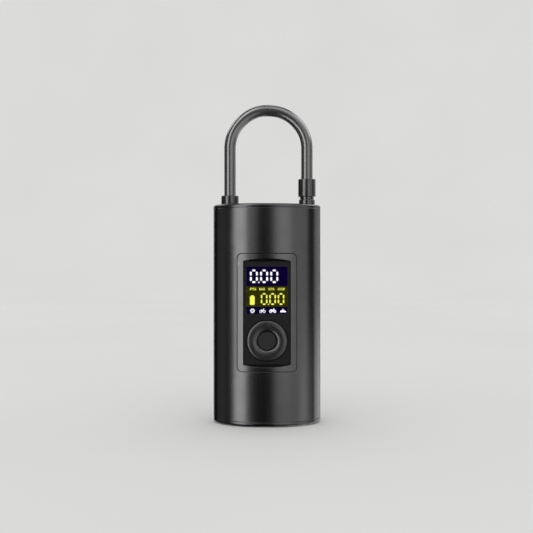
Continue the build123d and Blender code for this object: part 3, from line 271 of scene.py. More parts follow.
@dataclass(frozen=True)
class Surface(Finish):
    """A surface with its own grain, gloss and slight unevenness of colour; sizes in mm."""

    roughness: float
    metallic: float = 0.0
    specular: float = 0.5
    coat: float = 0.0
    sheen: float = 0.0
    see_through: float = 0.0
    ior: float = 1.5
    grain: Grain = Grain.MOULDED
    grain_size: float = 0.3
    grain_depth: float = 0.15
    patch_size: float = 9.0
    patches: float = 0.12
    gloss_play: float = 0.05
    # Painted highlight: the share by which sharp edges are lightened, and the light colour they
    # take.
    edge_highlight: float = 0.0
    edge_highlight_colour: Colour = (0.3, 0.3, 0.31)

    def lay_out(self, bench: Bench) -> bpy.types.Material:
        """Lays out broad patches of colour, a painted highlight along sharp edges, uneven gloss and
        a fine grain.

        Args:
            bench: the material's bench.

        Returns:
            The material.
        """
        fine = bench.pattern(self.grain_size * MM, 3.0, self.grain)
        patch = bench.spread(bench.pattern(self.patch_size * MM, 2.0), 0.0, 1.0)
        low = tuple(c * (1 - self.patches) for c in self.colour)
        high = tuple(min(1.0, c * (1 + self.patches)) for c in self.colour)
        colour = bench.tint(patch, low, high)
        # Painted highlight: sharp edges, found by Pointiness, are lightened towards the edge
        # colour.
        if self.edge_highlight:
            edge = bench.add("ShaderNodeNewGeometry").outputs["Pointiness"]
            painted_edge_light = bench.spread(edge, 0.0, self.edge_highlight, EDGE_HIGHLIGHT_RANGE)
            colour = bench.tint(painted_edge_light, colour, self.edge_highlight_colour)
        glossiest = max(0.02, self.roughness - self.gloss_play)
        dullest = min(1.0, self.roughness + self.gloss_play)
        bump = bench.add(
            "ShaderNodeBump", Strength=self.grain_depth, Distance=BUMP_DEPTH, Height=fine
        )
        bench.feed(
            bench.surface, Base_Color=colour, Roughness=bench.spread(fine, glossiest, dullest),
            Normal=bump.outputs["Normal"], Metallic=self.metallic, IOR=self.ior,
            Specular_IOR_Level=self.specular, Coat_Weight=self.coat,
            Coat_Roughness=COAT_ROUGHNESS, Sheen_Weight=self.sheen,
            Transmission_Weight=self.see_through,
        )
        return bench.material


@dataclass(frozen=True)
class Metal(Surface):
    """A bare or anodised metal, blasted unless it says otherwise."""

    metallic: float = 1.0
    grain: Grain = Grain.EVEN


@dataclass(frozen=True)
class Glow(Finish):
    """A lit part of the display: its light is slightly uneven, as a backlight's is."""

    strength: float = 1.0
    dimmest: float = 0.94
    patch_size: float = 5.0
    base: float = 0.0005

    def lay_out(self, bench: Bench) -> bpy.types.Material:
        """Lays out an uneven light over a nearly black base.

        Args:
            bench: the material's bench.

        Returns:
            The material.
        """
        patch = bench.spread(bench.pattern(self.patch_size * MM, 1.0), 0.0, 1.0)
        dim = tuple(c * self.dimmest for c in self.colour)
        bench.feed(
            bench.surface, Emission_Color=bench.tint(patch, dim, self.colour),
            Emission_Strength=self.strength, Base_Color=(self.base, self.base, self.base, 1),
            Roughness=0.6, Specular_IOR_Level=0.02,
        )
        return bench.material


# The satin metal finishes carry a painted highlight along their sharp edges.
SHELL = Metal(
    "satin_anodised_shell", (0.113, 0.1135, 0.115), 0.25, grain_size=0.22, grain_depth=0.2,
    patches=0.04, gloss_play=0.03, edge_highlight=0.35,
)
BEZEL = replace(SHELL, name="satin_bezel", colour=(0.118, 0.1185, 0.12), edge_highlight=0.3)
CAP = replace(
    BEZEL, name="satin_cap", colour=(0.1, 0.1, 0.105), roughness=0.26, grain_depth=0.15,
    patches=0.05,
)
FITTING = Metal(
    "turned_fitting", (0.115, 0.115, 0.118), 0.25, grain=Grain.TURNED, grain_size=0.1,
    grain_depth=0.12, patches=0.05, edge_highlight=0.35,
)
# Painted shade: a near-black matte finish for the bezel's recess walls, standing in for the shade
# inside the recess.
RECESS_PAINTED_SHADE = Surface("recess_black", (0.003, 0.003, 0.003), 0.75, specular=0.15, grain_depth=0.2)
PANEL = Surface(
    "fascia_black", (0.008, 0.008, 0.0082), 0.5, specular=0.2, grain_size=0.16, grain_depth=0.25,
    patches=0.05,
)
RING = Surface(
    "rocker_satin", (0.006, 0.006, 0.0062), 0.32, specular=0.8, ior=1.6,
    grain=Grain.TURNED_ACROSS, grain_size=0.12, grain_depth=0.1, patches=0.06,
)
KEY = Surface(
    "key_satin", (0.017, 0.017, 0.0175), 0.5, specular=0.25, grain_size=0.16, grain_depth=0.2
)
LENS = Surface(
    "clear_lens", (0.97, 0.98, 1.0), 0.03, specular=0.1, see_through=1.0, ior=1.45,
    grain_depth=0.004, patches=0.01, gloss_play=0.01,
)
HOSE = Surface(
    "smooth_hose_rubber", (0.01, 0.01, 0.0105), 0.28, specular=1.0, ior=1.9, grain=Grain.EVEN,
    grain_size=0.25, grain_depth=0.08, patches=0.15, gloss_play=0.04,
)
BUSHING = Surface("socket_rubber", (0.01, 0.01, 0.01), 0.55, specular=0.35, grain_depth=0.25)
FOOT = Surface(
    "foot_rubber", (0.016, 0.016, 0.016), 0.8, specular=0.3, sheen=0.15, grain_size=0.2,
    grain_depth=0.4,
)
FROSTED = Surface(
    "frosted_lamp_lens", (0.82, 0.84, 0.86), 0.38, see_through=0.55, ior=1.49, grain=Grain.EVEN,
    grain_size=0.15, grain_depth=0.3, patches=0.03,
)
DARK_GLASS = Surface("lcd_glass", (0.004, 0.003, 0.02), 0.12, grain_depth=0.02)
FLOOR = Surface(
    "pale_floor", (0.77, 0.77, 0.76), 0.7, specular=0.0, grain_size=3.0, grain_depth=0.03,
    patch_size=400.0, patches=0.015,
)
PARTS_BLACK = Surface("moulded_part_black", (0.02, 0.02, 0.02), 0.5, grain_size=0.2)
PORT_STEEL = Metal(
    "port_steel", (0.6, 0.6, 0.62), 0.28, grain=Grain.DRAWN, grain_size=0.1, patches=0.06
)
GOLD = Metal("contact_gold", (0.85, 0.62, 0.22), 0.25, grain=Grain.MOULDED, grain_size=0.1)
SCREW_DARK = Metal("black_oxide_screw", (0.05, 0.05, 0.055), 0.38, grain_size=0.12, edge_highlight=0.5)
BLUE_FIELD = Glow("display_blue_field", (0.0034, 0.0002, 0.0268))
OLIVE_FIELD = Glow("display_olive_field", (0.0305, 0.0315, 0.0008))
WHITE_SEGMENTS = Glow("display_white", (1.0, 1.0, 1.0), 1.15)
YELLOW_SEGMENTS = Glow("display_yellow", (1.0, 1.0, 0.12), 1.05)

SLOT_FINISHES: dict[str, Finish] = {
    "anodised_shell": SHELL,
    "cap_black": CAP,
    "foot_rubber": FOOT,
    "bezel_black": BEZEL,
    "panel_black": PANEL,
    "lens_clear": LENS,
    "lcd_dark": DARK_GLASS,
    "control_black": RING,
    "key_black": KEY,
    "hose_rubber": HOSE,
    "fitting_black": FITTING,
    "bushing_black": BUSHING,
    "lamp_lens": FROSTED,
    "port_steel": PORT_STEEL,
    "screw_dark": SCREW_DARK,
    "switch_black": PARTS_BLACK,
    "pad_rubber": Surface("pad_rubber", (0.03, 0.03, 0.03), 0.7, grain_depth=0.3),
    "board_green": Surface(
        "solder_mask", (0.015, 0.11, 0.045), 0.32, coat=0.3, grain_size=0.5, patch_size=4.0,
        patches=0.2,
    ),
    "screw_steel": Metal(
        "plain_screw_steel", (0.58, 0.58, 0.6), 0.3, grain=Grain.TURNED, grain_size=0.1
    ),
    "brass": Metal(
        "machined_brass", (0.74, 0.55, 0.25), 0.24, grain=Grain.TURNED, grain_size=0.12,
        patches=0.08,
    ),
    "tube_silicone": Surface(
        "silicone_tube", (0.7, 0.7, 0.66), 0.35, see_through=0.25, ior=1.41, grain_size=0.6
    ),
    "inner_plastic": Surface(
        "moulded_frame", (0.06, 0.06, 0.065), 0.5, grain_size=0.35, grain_depth=0.3
    ),
    "cell_can": Surface(
        "cell_sleeve", (0.05, 0.16, 0.36), 0.32, coat=0.25, grain_size=0.8, patches=0.08
    ),
    "lead_red": Surface("lead_red", (0.42, 0.02, 0.02), 0.4, grain_size=0.4),
    "ribbon_white": Surface(
        "ribbon_white", (0.72, 0.72, 0.7), 0.5, grain=Grain.DRAWN, grain_size=0.4
    ),
    "motor_steel": Metal(
        "plated_can", (0.55, 0.55, 0.57), 0.3, grain=Grain.TURNED, grain_size=0.18, patches=0.06
    ),
    "magnet_iron": Metal(
        "sintered_magnet", (0.07, 0.07, 0.075), 0.6, metallic=0.6, grain_size=0.25,
        grain_depth=0.4,
    ),
    "rotor_steel": Metal(
        "wound_rotor", (0.42, 0.22, 0.12), 0.38, metallic=0.8, grain=Grain.DRAWN,
        grain_size=0.25, grain_depth=0.5, patches=0.2,
    ),
    "cast_alloy": Metal(
        "cast_alloy", (0.5, 0.5, 0.51), 0.45, grain_size=0.5, grain_depth=0.5, patches=0.1
    ),
    "gear_steel": Metal(
        "sintered_gear", (0.36, 0.36, 0.37), 0.42, grain_size=0.2, grain_depth=0.3, patches=0.1
    ),
}


# ---- mesh work ------------------------------------------------------------------------------
def link(name: str, mesh: bpy.types.Mesh) -> Piece:
    """Puts a mesh in the scene.

    Args:
        name: the piece's name.
        mesh: its mesh, in place.

    Returns:
        The new object, at the origin.
    """
    mesh.name = name
    obj = bpy.data.objects.new(name, mesh)
    bpy.context.scene.collection.objects.link(obj)
    return obj


def weld(mesh: bpy.types.Mesh, reach: float, outwards: bool = True) -> bpy.types.Mesh:
    """Merges a mesh's doubled points.

    Args:
        mesh: the mesh.
        reach: how far apart doubles may lie.
        outwards: whether its faces are then turned outwards.

    Returns:
        The same mesh.
    """
    work = bmesh.new()
    work.from_mesh(mesh)
    bmesh.ops.remove_doubles(work, verts=work.verts, dist=reach)
    if outwards:
        bmesh.ops.recalc_face_normals(work, faces=work.faces)
    work.to_mesh(mesh)
    work.free()
    return mesh


def shape(name: str, points: Sequence[Sequence[float]], faces: Sequence[Sequence[int]]) -> Piece:
    """Makes a closed, smooth-shaded piece with its faces pointing outwards.

    Args:
        name: the piece's name.
        points: its vertices.
        faces: its faces, as indices into points.

    Returns:
        The new object.
    """
    mesh = bpy.data.meshes.new(name)
    mesh.from_pydata([tuple(p) for p in points], [], [tuple(f) for f in faces])
    weld(mesh, TINY).shade_smooth()
    return link(name, mesh)


def settle(obj: Piece) -> Piece:
    """Turns the result of a piece's modifiers into its own mesh.

    Args:
        obj: the piece.

    Returns:
        The same piece.
    """
    bpy.context.view_layer.update()
    graph = bpy.context.evaluated_depsgraph_get()
    mesh = bpy.data.meshes.new_from_object(
        obj.evaluated_get(graph), preserve_all_data_layers=True, depsgraph=graph
    )
    obj.modifiers.clear()
    obj.data = mesh
    mesh.name = obj.name
    return obj


def round_edges(obj: Piece, width: float, steps: int = 2, angle: float = 32.0) -> Piece:
    """Rounds a piece's sharp edges and evens its shading.

    Args:
        obj: the piece.
        width: how far the rounding reaches.
        steps: faces across it.
        angle: edges sharper than this, in degrees, are rounded.

    Returns:
        The same piece.
    """
    bevel = obj.modifiers.new("edges", "BEVEL")
    bevel.width = width
    bevel.segments = steps
    bevel.limit_method = "ANGLE"
    bevel.angle_limit = math.radians(angle)
    bevel.harden_normals = True
    bevel.miter_outer = "MITER_ARC"
    return settle(obj)


def crisp(obj: Piece, angle: float = 30.0) -> Piece:
    """Keeps a piece's edges sharper than that angle crisp in its shading."""
    obj.data.set_sharp_from_angle(angle=math.radians(angle))
    return obj


def cut(obj: Piece, *tools: Piece) -> Piece:
    """Cuts tools out of a piece and deletes them.

    Args:
        obj: the piece.
        tools: what is cut out of it.

    Returns:
        The same piece.
    """
    for tool in tools:
        step = obj.modifiers.new("cut", "BOOLEAN")
        step.operation = "DIFFERENCE"
        step.solver = "EXACT"
        step.object = tool
    settle(obj)
    for tool in tools:
        bpy.data.objects.remove(tool)
    return obj


def skin(
    name: str, loops: Sequence[Sequence[Sequence[float]]], ring: bool = False, lids: bool = False
) -> Piece:
    """Joins cyclic loops of points into one piece.

    Args:
        name: the piece's name.
        loops: loops of equal length; one of a single point is a pole.
        ring: whether the last loop joins the first again.
        lids: whether the first and last loops are closed with a flat face.

    Returns:
        The new object.
    """
    points: list[Sequence[float]] = []
    starts: list[tuple[int, int]] = []
    for loop in loops:
        starts.append((len(points), len(loop)))
        points.extend(loop)
    faces: list[list[int]] = []
    pairs = list(pairwise(starts))
    if ring:
        pairs.append((starts[-1], starts[0]))
    for (a, count_a), (b, count_b) in pairs:
        count = max(count_a, count_b)
        for i in range(count):
            j = (i + 1) % count
            face = [a + i % count_a, a + j % count_a, b + j % count_b, b + i % count_b]
            faces.append(list(dict.fromkeys(face)))
    if lids:
        for start, count in (starts[0], starts[-1]):
            if count > 1:
                faces.append(list(range(start, start + count)))
    return shape(name, points, faces)


def turns_round(count: int) -> list[float]:
    """Angles evenly round a circle."""
    return [2 * math.pi * i / count for i in range(count)]


def arc(
    centre: Flat, radius: float, start: float, end: float, steps: int, tall: float = 0.0
) -> list[Flat]:
    """Points on part of a circle or an upright oval.

    Args:
        centre: its middle.
        radius: its half width.
        start: first angle, in degrees.
        end: last angle.
        steps: number of segments.
        tall: its half height, where that differs.

    Returns:
        The points, both ends among them.
    """
    return [
        (centre[0] + radius * math.cos(t), centre[1] + (tall or radius) * math.sin(t))
        for t in (math.radians(angle) for angle in even(start, end, steps))
    ]


def oval_loop(half_x: float, half_y: float, z: float, count: int = 128) -> list[Point]:
    """Points round an upright oval, by its half width and depth and its height."""
    return [(half_x * math.sin(t), -half_y * math.cos(t), z) for t in turns_round(count)]


def slot_loop(size: Flat, centre: Flat, z: float, steps: int = 12) -> list[Point]:
    """Points round a slot with half-round ends.

    Args:
        size: its length along x and its width along y.
        centre: its middle, as x and y.
        z: its height.
        steps: segments of each end.

    Returns:
        The loop's points.
    """
    x, y = centre
    r = size[1] / 2
    reach = size[0] / 2 - r
    return [
        (x + side * (reach + r * math.cos(t)), y + side * r * math.sin(t), z)
        for side, t in product((1, -1), even(-math.pi / 2, math.pi / 2, steps))
    ]


def square_loop(half_x: float, half_y: float, z: float, y: float = 0.0) -> list[Point]:
    """Corners of a rectangle about x = 0 and that y, by its half sizes and its height."""
    corners = ((-1, -1), (1, -1), (1, 1), (-1, 1))
    return [(a * half_x, y + b * half_y, z) for a, b in corners]


def turned(
    name: str, outline: Line, centre: Point, across: bool = False, count: int = 96,
    ring: bool = True,
) -> Piece:
    """Makes a turned piece.

    Args:
        name: the piece's name.
        outline: radius and place along the axis of each corner, in order.
        centre: a point on the axis, from which the places are counted.
        across: whether the axis is front to back instead of upright.
        count: segments round it.
        ring: whether the outline closes on itself; if not, it starts and ends on the axis.

    Returns:
        The new object.
    """
    loops = []
    for radius, along in outline:
        loop = []
        for t in turns_round(count) if radius > TINY else (0.0,):
            u, v = radius * math.cos(t), radius * math.sin(t)
            step = (u, along, v) if across else (u, v, along)
            loop.append(tuple(a + b for a, b in zip(centre, step)))
        loops.append(loop)
    return skin(name, loops, ring=ring)


def plug(radius: float, low: float, high: float) -> list[Flat]:
    """A plain cylinder's outline, for turned() with its ends on the axis."""
    return [(0, low), (radius, low), (radius, high), (0, high)]


def frame_outline(
    size: Flat, rounding: float, across: int, along: int, centre: Flat = (0.0, 0.0), turn: int = 4
) -> list[Flat]:
    """Points round a rectangle with rounded corners, from the middle of its lower left corner.

    Args:
        size: its width and height.
        rounding: radius of its corners.
        across: segments of each short side, half a corner at each end among them.
        along: segments of each long side, likewise.
        centre: its middle.
        turn: segments of half a corner.

    Returns:
        Pairs of x and z, anticlockwise.
    """
    half_x, half_z = size[0] / 2 - rounding, size[1] / 2 - rounding
    points: list[Flat] = []
    corners = [(-half_x, -half_z), (half_x, -half_z), (half_x, half_z), (-half_x, half_z)]
    for n, corner in enumerate(corners):
        leave = arc(corner, rounding, 225 + 90 * n, 270 + 90 * n, turn)
        reach = arc(corners[(n + 1) % 4], rounding, 270 + 90 * n, 315 + 90 * n, turn)
        straight = (across if n % 2 == 0 else along) - 2 * turn
        start, end = leave[-1], reach[0]
        for i in range(1, straight):
            s = i / straight
            leave.append((start[0] + (end[0] - start[0]) * s, start[1] + (end[1] - start[1]) * s))
        points.extend(leave + reach[:-1])
    return [(centre[0] + x, centre[1] + z) for x, z in points]


def slab(name: str, outline: Line, front: float, back: float, edge: float = 0.0) -> Piece:
    """Makes an upright plate from an outline.

    Args:
        name: the piece's name.
        outline: pairs of x and z.
        front: y of its front.
        back: y of its back.
        edge: rounding of its edges.

    Returns:
        The new object.
    """
    obj = skin(name, [[(x, y, z) for x, z in outline] for y in (front, back)], lids=True)
    return round_edges(obj, edge) if edge else crisp(obj)


def dress(obj: Piece, *finishes: Finish) -> Piece:
    """Gives a piece its finishes.

    Args:
        obj: the piece.
        finishes: one for each material slot.

    Returns:
        The same piece.
    """
    obj.data.materials.clear()
    for finish in finishes:
        obj.data.materials.append(finish.build())
    return obj


def fit(obj: Piece, slot: str, *nodes: str, body: str = "housing") -> Piece:
    """Fits a finished piece to its body.

    Args:
        obj: the piece.
        slot: the record's material slot; not used.
        nodes: the CAD nodes it stands for.
        body: the body it moves with.

    Returns:
        The same piece.
    """
    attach(obj, body)
    if nodes:
        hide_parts(*nodes)
    log.info("%s: %d faces, on %s", obj.name, len(obj.data.polygons), body)
    return obj


# ---- repeated pieces ------------------------------------------------------------------------
class Tree(Nodes):
    """A Geometry Nodes tree that ends in Realize Instances and Set Material."""

    def __init__(self, name: str, **sockets: str) -> None:
        """Starts a tree that takes geometry, its own inputs and a finish.

        Args:
            name: the tree's name.
            sockets: the type of each input, by name with underscores for spaces.
        """
        self.tree = bpy.data.node_groups.new(name, "GeometryNodeTree")
        self.tree.is_modifier = True
        inputs = {"Geometry": "Geometry", **sockets, "Finish": "Material"}
        rows = [(label, "INPUT", kind) for label, kind in inputs.items()]
        for label, way, kind in [*rows, ("Geometry", "OUTPUT", "Geometry")]:
            self.tree.interface.new_socket(
                name=label.replace("_", " "), in_out=way, socket_type=f"NodeSocket{kind}"
            )
        self.given = self.add("NodeGroupInput").outputs

    def work_out(self, operation: str, *values: Socket | float) -> Socket:
        """Adds one step of arithmetic.

        Args:
            operation: its name.
            values: sockets or plain numbers.

        Returns:
            The socket with the result.
        """
        node = self.add("ShaderNodeMath", {"operation": operation})
        for socket, value in zip(node.inputs, values):
            self.give(socket, value)
        return node.outputs[0]

    def close(self, geometry: Socket) -> "Tree":
        """Ends the tree: real geometry in the finish that it was given.

        Args:
            geometry: the socket with what the tree made.

        Returns:
            The finished tree.
        """
        real = self.add("GeometryNodeRealizeInstances", Geometry=geometry).outputs[0]
        paint = self.add("GeometryNodeSetMaterial", Geometry=real, Material=self.given["Finish"])
        self.add("NodeGroupOutput", Geometry=paint.outputs[0])
        return self

    def run(self, name: str, seed: bpy.types.Mesh, finish: Finish, **values: Any) -> Piece:
        """Runs the tree on a mesh and keeps the result as a plain piece.

        Args:
            name: the piece's name.
            seed: the mesh that the tree starts from.
            finish: the piece's finish.
            values: the other inputs, with underscores for spaces.

        Returns:
            The new object.
        """
        obj = link(name, seed)
        modifier = obj.modifiers.new("tree", "NODES")
        modifier.node_group = self.tree
        wanted = {label.replace("_", " "): value for label, value in values.items()}
        wanted["Finish"] = finish.build()
        for item in self.tree.interface.items_tree:
            if item.in_out == "INPUT" and item.name in wanted:
                modifier[item.identifier] = wanted[item.name]
        return settle(obj)


def stroke_tree() -> Tree:
    """Builds the tree that draws lit segments along lines.

    Returns:
        The tree: each line becomes a flat bar whose ends may taper.
    """
    tree = Tree(
        "drawn_segments", Bar_Width="Float", Flatness="Float", Plane="Float", End_Width="Float"
    )
    given = tree.given
    lines = tree.add("GeometryNodeMeshToCurve", Mesh=given["Geometry"])
    runs = tree.add("GeometryNodeResampleCurve", Curve=lines.outputs[0], Count=STROKE_STEPS)
    along = tree.add("GeometryNodeSplineParameter").outputs["Factor"]
    from_middle = tree.work_out("ABSOLUTE", tree.work_out("MULTIPLY_ADD", along, 2.0, -1.0))
    taper = tree.add(
        "ShaderNodeMapRange", {"interpolation_type": "SMOOTHSTEP"}, Value=from_middle,
        From_Min=TAPER_START, From_Max=1.0, To_Min=1.0, To_Max=given["End Width"],
    ).outputs["Result"]
    tapered = tree.add("GeometryNodeSetCurveRadius", Curve=runs.outputs[0], Radius=taper)
    half_width = tree.work_out("MULTIPLY", given["Bar Width"], 0.5)
    profile = tree.add(
        "GeometryNodeCurvePrimitiveCircle", Resolution=STROKE_SIDES, Radius=half_width
    )
    bars = tree.add(
        "GeometryNodeCurveToMesh", Curve=tapered.outputs[0], Profile_Curve=profile.outputs[0],
        Scale=taper, Fill_Caps=True,
    )
    position = tree.add("GeometryNodeInputPosition").outputs[0]
    place = tree.add("ShaderNodeSeparateXYZ", Vector=position).outputs
    depth = tree.work_out("SUBTRACT", place["Y"], given["Plane"])
    pressed = tree.work_out("MULTIPLY_ADD", depth, given["Flatness"], given["Plane"])
    moved = tree.add("ShaderNodeCombineXYZ", X=place["X"], Y=pressed, Z=place["Z"])
    flat = tree.add("GeometryNodeSetPosition", Geometry=bars.outputs[0], Position=moved.outputs[0])
    return tree.close(flat.outputs[0])


def spread_tree() -> Tree:
    """Builds the tree that sets copies of a template on points.

    Returns:
        The tree: the attribute "stretch" gives each copy's size along its axes.
    """
    tree = Tree("spread_copies", Template="Object", Size="Float")
    given = tree.given
    template = tree.add(
        "GeometryNodeObjectInfo", {"transform_space": "ORIGINAL"}, Object=given["Template"]
    )
    stretch = tree.add(
        "GeometryNodeInputNamedAttribute", {"data_type": "FLOAT_VECTOR"}, Name="stretch"
    )
    scale = tree.add(
        "ShaderNodeVectorMath", {"operation": "SCALE"}, Vector=stretch.outputs["Attribute"],
        Scale=given["Size"],
    )
    copies = tree.add(
        "GeometryNodeInstanceOnPoints", Points=given["Geometry"],
        Instance=template.outputs["Geometry"], Scale=scale.outputs[0],
    )
    return tree.close(copies.outputs[0])


def spread(
    tree: Tree, name: str, template: Piece, points: Sequence[Point], finish: Finish,
    stretches: Sequence[Point] | None = None,
) -> Piece:
    """Sets copies of a template on points, and deletes the template.

    Args:
        tree: the tree that spreads copies.
        name: the new piece's name.
        template: the piece to repeat, modelled about the origin.
        points: where the copies go.
        finish: their finish.
        stretches: each copy's size along x, y and z; all 1 where left out.

    Returns:
        The new piece.
    """
    seed = bpy.data.meshes.new(name)
    seed.from_pydata(list(points), [], [])
    sizes = seed.attributes.new("stretch", "FLOAT_VECTOR", "POINT")
    values = stretches or [(1.0, 1.0, 1.0)] * len(points)
    sizes.data.foreach_set("vector", [c for v in values for c in v])
    made = tree.run(name, seed, finish, Template=template, Size=1.0)
    bpy.data.objects.remove(template)
    return made


# ---- studio ---------------------------------------------------------------------------------
@dataclass(frozen=True)
class Softbox:
    """A large soft light that draws a band in polished faces, placed by its direction."""

    name: str
    azimuth: float
    elevation: float
    distance: float
    width: float
    height: float
    radiance: float

    def build(self, target: Vector) -> Piece:
        """Hangs the light.

        Args:
            target: the point that it faces.

        Returns:
            The light.
        """
        turn, rise = math.radians(self.azimuth), math.radians(self.elevation)
        out = Vector(
            (math.cos(rise) * math.sin(turn), -math.cos(rise) * math.cos(turn), math.sin(rise))
        )
        data = bpy.data.lights.new(self.name, "AREA")
        data.shape = "RECTANGLE"
        data.size, data.size_y = self.width, self.height
        data.energy = self.radiance * math.pi * self.width * self.height
        obj = bpy.data.objects.new(self.name, data)
        bpy.context.scene.collection.objects.link(obj)
        obj.location = target + out * self.distance
        obj.rotation_euler = (-out).to_track_quat("-Z", "Y").to_euler()
        obj.visible_camera = False
        obj.visible_diffuse = False
        return obj


@dataclass
class Studio:
    """Camera, soft lights and a pale seamless floor."""

    eye: Point = (-0.0003, -0.540, 0.1025)
    lens_mm: float = 54.96
    sensor_mm: float = 36.0
    floor_radius: float = 1.9
    bend_radius: float = 0.9
    backdrop_top: float = 2.2
    floor_gap: float = 0.05 * MM
    air: float = 0.92
    softboxes: tuple[Softbox, ...] = (
        Softbox("left_strip", -41.5, 12, 1.25, 0.53, 4.6, 2.6),
        Softbox("left_upper", -20, 9, 1.25, 0.22, 0.5, 0.7),
        Softbox("left_far", -92, 0, 1.25, 0.91, 1.5, 0.16),
        Softbox("right_wide", 41, 12, 1.25, 1.6, 4.6, 0.64),
        Softbox("right_upper", 24, 4.4, 1.25, 0.49, 0.6, 0.6),
        Softbox("right_low", 70, -24.8, 1.25, 0.75, 0.8, 0.5),
        Softbox("right_rim", 122, 0, 1.3, 1.15, 1.5, 0.72),
        Softbox("right_rim_low", 122, -36, 1.3, 1.15, 1.5, 0.8),
        Softbox("back_strip", 168, 12, 1.25, 0.5, 4.6, 1.6),
        Softbox("back_wide", -157, 12, 1.25, 0.6, 4.6, 0.8),
        Softbox("left_shoulder", -124, 40, 1.3, 0.8, 0.5, 2.4),
        Softbox("right_shoulder", 106, 42, 1.3, 1.1, 0.8, 2.4),
        Softbox("overhead", 0, 62, 1.3, 1.6, 1.2, 0.75),
    )

    def camera(self) -> None:
        """Sets up the level camera in front of the display."""
        data = bpy.data.cameras.new("camera")
        data.lens = self.lens_mm
        data.sensor_width = self.sensor_mm
        data.clip_start = 0.01
        obj = bpy.data.objects.new("camera", data)
        obj.location = self.eye
        obj.rotation_euler = (math.pi / 2, 0.0, 0.0)
        bpy.context.scene.collection.objects.link(obj)
        bpy.context.scene.camera = obj

    def floor(self) -> None:
        """Makes the floor, which curves up into a backdrop all round."""
        bend = arc((self.floor_radius, self.bend_radius), self.bend_radius, -90, 0, 20)
        outline = [(0.0, 0.0), (0.2, 0.0), (0.8, 0.0), *bend]
        outline.append((self.floor_radius + self.bend_radius, self.backdrop_top))
        low = CAD_BOX[0][2] - self.floor_gap
        obj = dress(turned("studio_floor", outline, (0.0, 0.0, low), ring=False), FLOOR)
        obj.visible_glossy = False
        obj.visible_diffuse = False
        obj.visible_transmission = False
        obj.visible_shadow = False

    def build(self) -> None:
        """Sets up lights, air and floor."""
        target = Vector((0.0, 0.0, (CAD_BOX[0][2] + CAD_BOX[1][2]) / 2))
        for softbox in self.softboxes:
            softbox.build(target)
        world = bpy.data.worlds.new("studio_air")
        world.use_nodes = True
        back = world.node_tree.nodes["Background"]
        back.inputs["Color"].default_value = (1.0, 1.0, 1.0, 1.0)
        back.inputs["Strength"].default_value = self.air
        world.cycles_visibility.glossy = False
        world.cycles_visibility.transmission = False
        bpy.context.scene.world = world
        bpy.context.scene.view_settings.view_transform = "Standard"
        self.floor()


# ---- hose and chuck -------------------------------------------------------------------------
@dataclass
class Hose:
    """The stiff air hose: up from its collar, over in an arch and down into the chuck."""

    diameter: float = 7.6 * MM
    left_x: float = -24.5 * MM
    right_x: float = 26.5 * MM
    low_z: float = 141.2 * MM
    end_z: float = 158.5 * MM
    top_z: float = 205.9 * MM
    bend_z: float = 190.963 * MM
    bend_left_x: float = -9.563 * MM
    bend_right_x: float = 11.563 * MM
    run_z: float = 169.84 * MM
    length: float = 141.6 * MM
    sides: int = 48

    def route(self) -> list[Vector]:
        """Reads the hose's centreline from its spline.

        Returns:
            Points from the collar to the chuck.
        """
        corners = [
            (self.left_x, 0, self.low_z), (self.left_x, 0, self.run_z),
            (self.left_x, 0, self.bend_z), (self.bend_left_x, 0, self.top_z),
            (self.bend_right_x, 0, self.top_z), (self.right_x, 0, self.bend_z),
            (self.right_x, 0, self.run_z), (self.right_x, 0, self.end_z),
        ]
        data = bpy.data.curves.new("hose_route", "CURVE")
        data.dimensions = "3D"
        data.resolution_u = 24
        spline = data.splines.new("NURBS")
        spline.points.add(len(corners) - 1)
        for point, corner in zip(spline.points, corners):
            point.co = (*corner, 1.0)
        spline.order_u = 3
        spline.use_endpoint_u = True
        obj = bpy.data.objects.new("hose_route", data)
        bpy.context.scene.collection.objects.link(obj)
        bpy.context.view_layer.update()
        line = bpy.data.meshes.new_from_object(obj)
        points = [v.co.copy() for v in line.vertices]
        bpy.data.objects.remove(obj)
        bpy.data.meshes.remove(line)
        return points

    def build(self, riders: Sequence[Piece]) -> None:
        """Makes the hose.

        Args:
            riders: the chuck's pieces, on its far end; not used.
        """
        route = self.route()
        radius = self.diameter / 2
        side = Vector((0, 1, 0))
        loops = []
        for i, point in enumerate(route):
            ahead = route[min(i + 1, len(route) - 1)] - route[max(i - 1, 0)]
            up = ahead.normalized().cross(side)
            spokes = (math.cos(t) * up + math.sin(t) * side for t in turns_round(self.sides))
            loops.append([point + radius * spoke for spoke in spokes])
        obj = dress(skin("air_hose", [[route[0]], *loops, [route[-1]]]), HOSE)
        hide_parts("hose")
        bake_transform(obj)
        log.info("%s: %d faces, bends with the chuck", obj.name, len(obj.data.polygons))


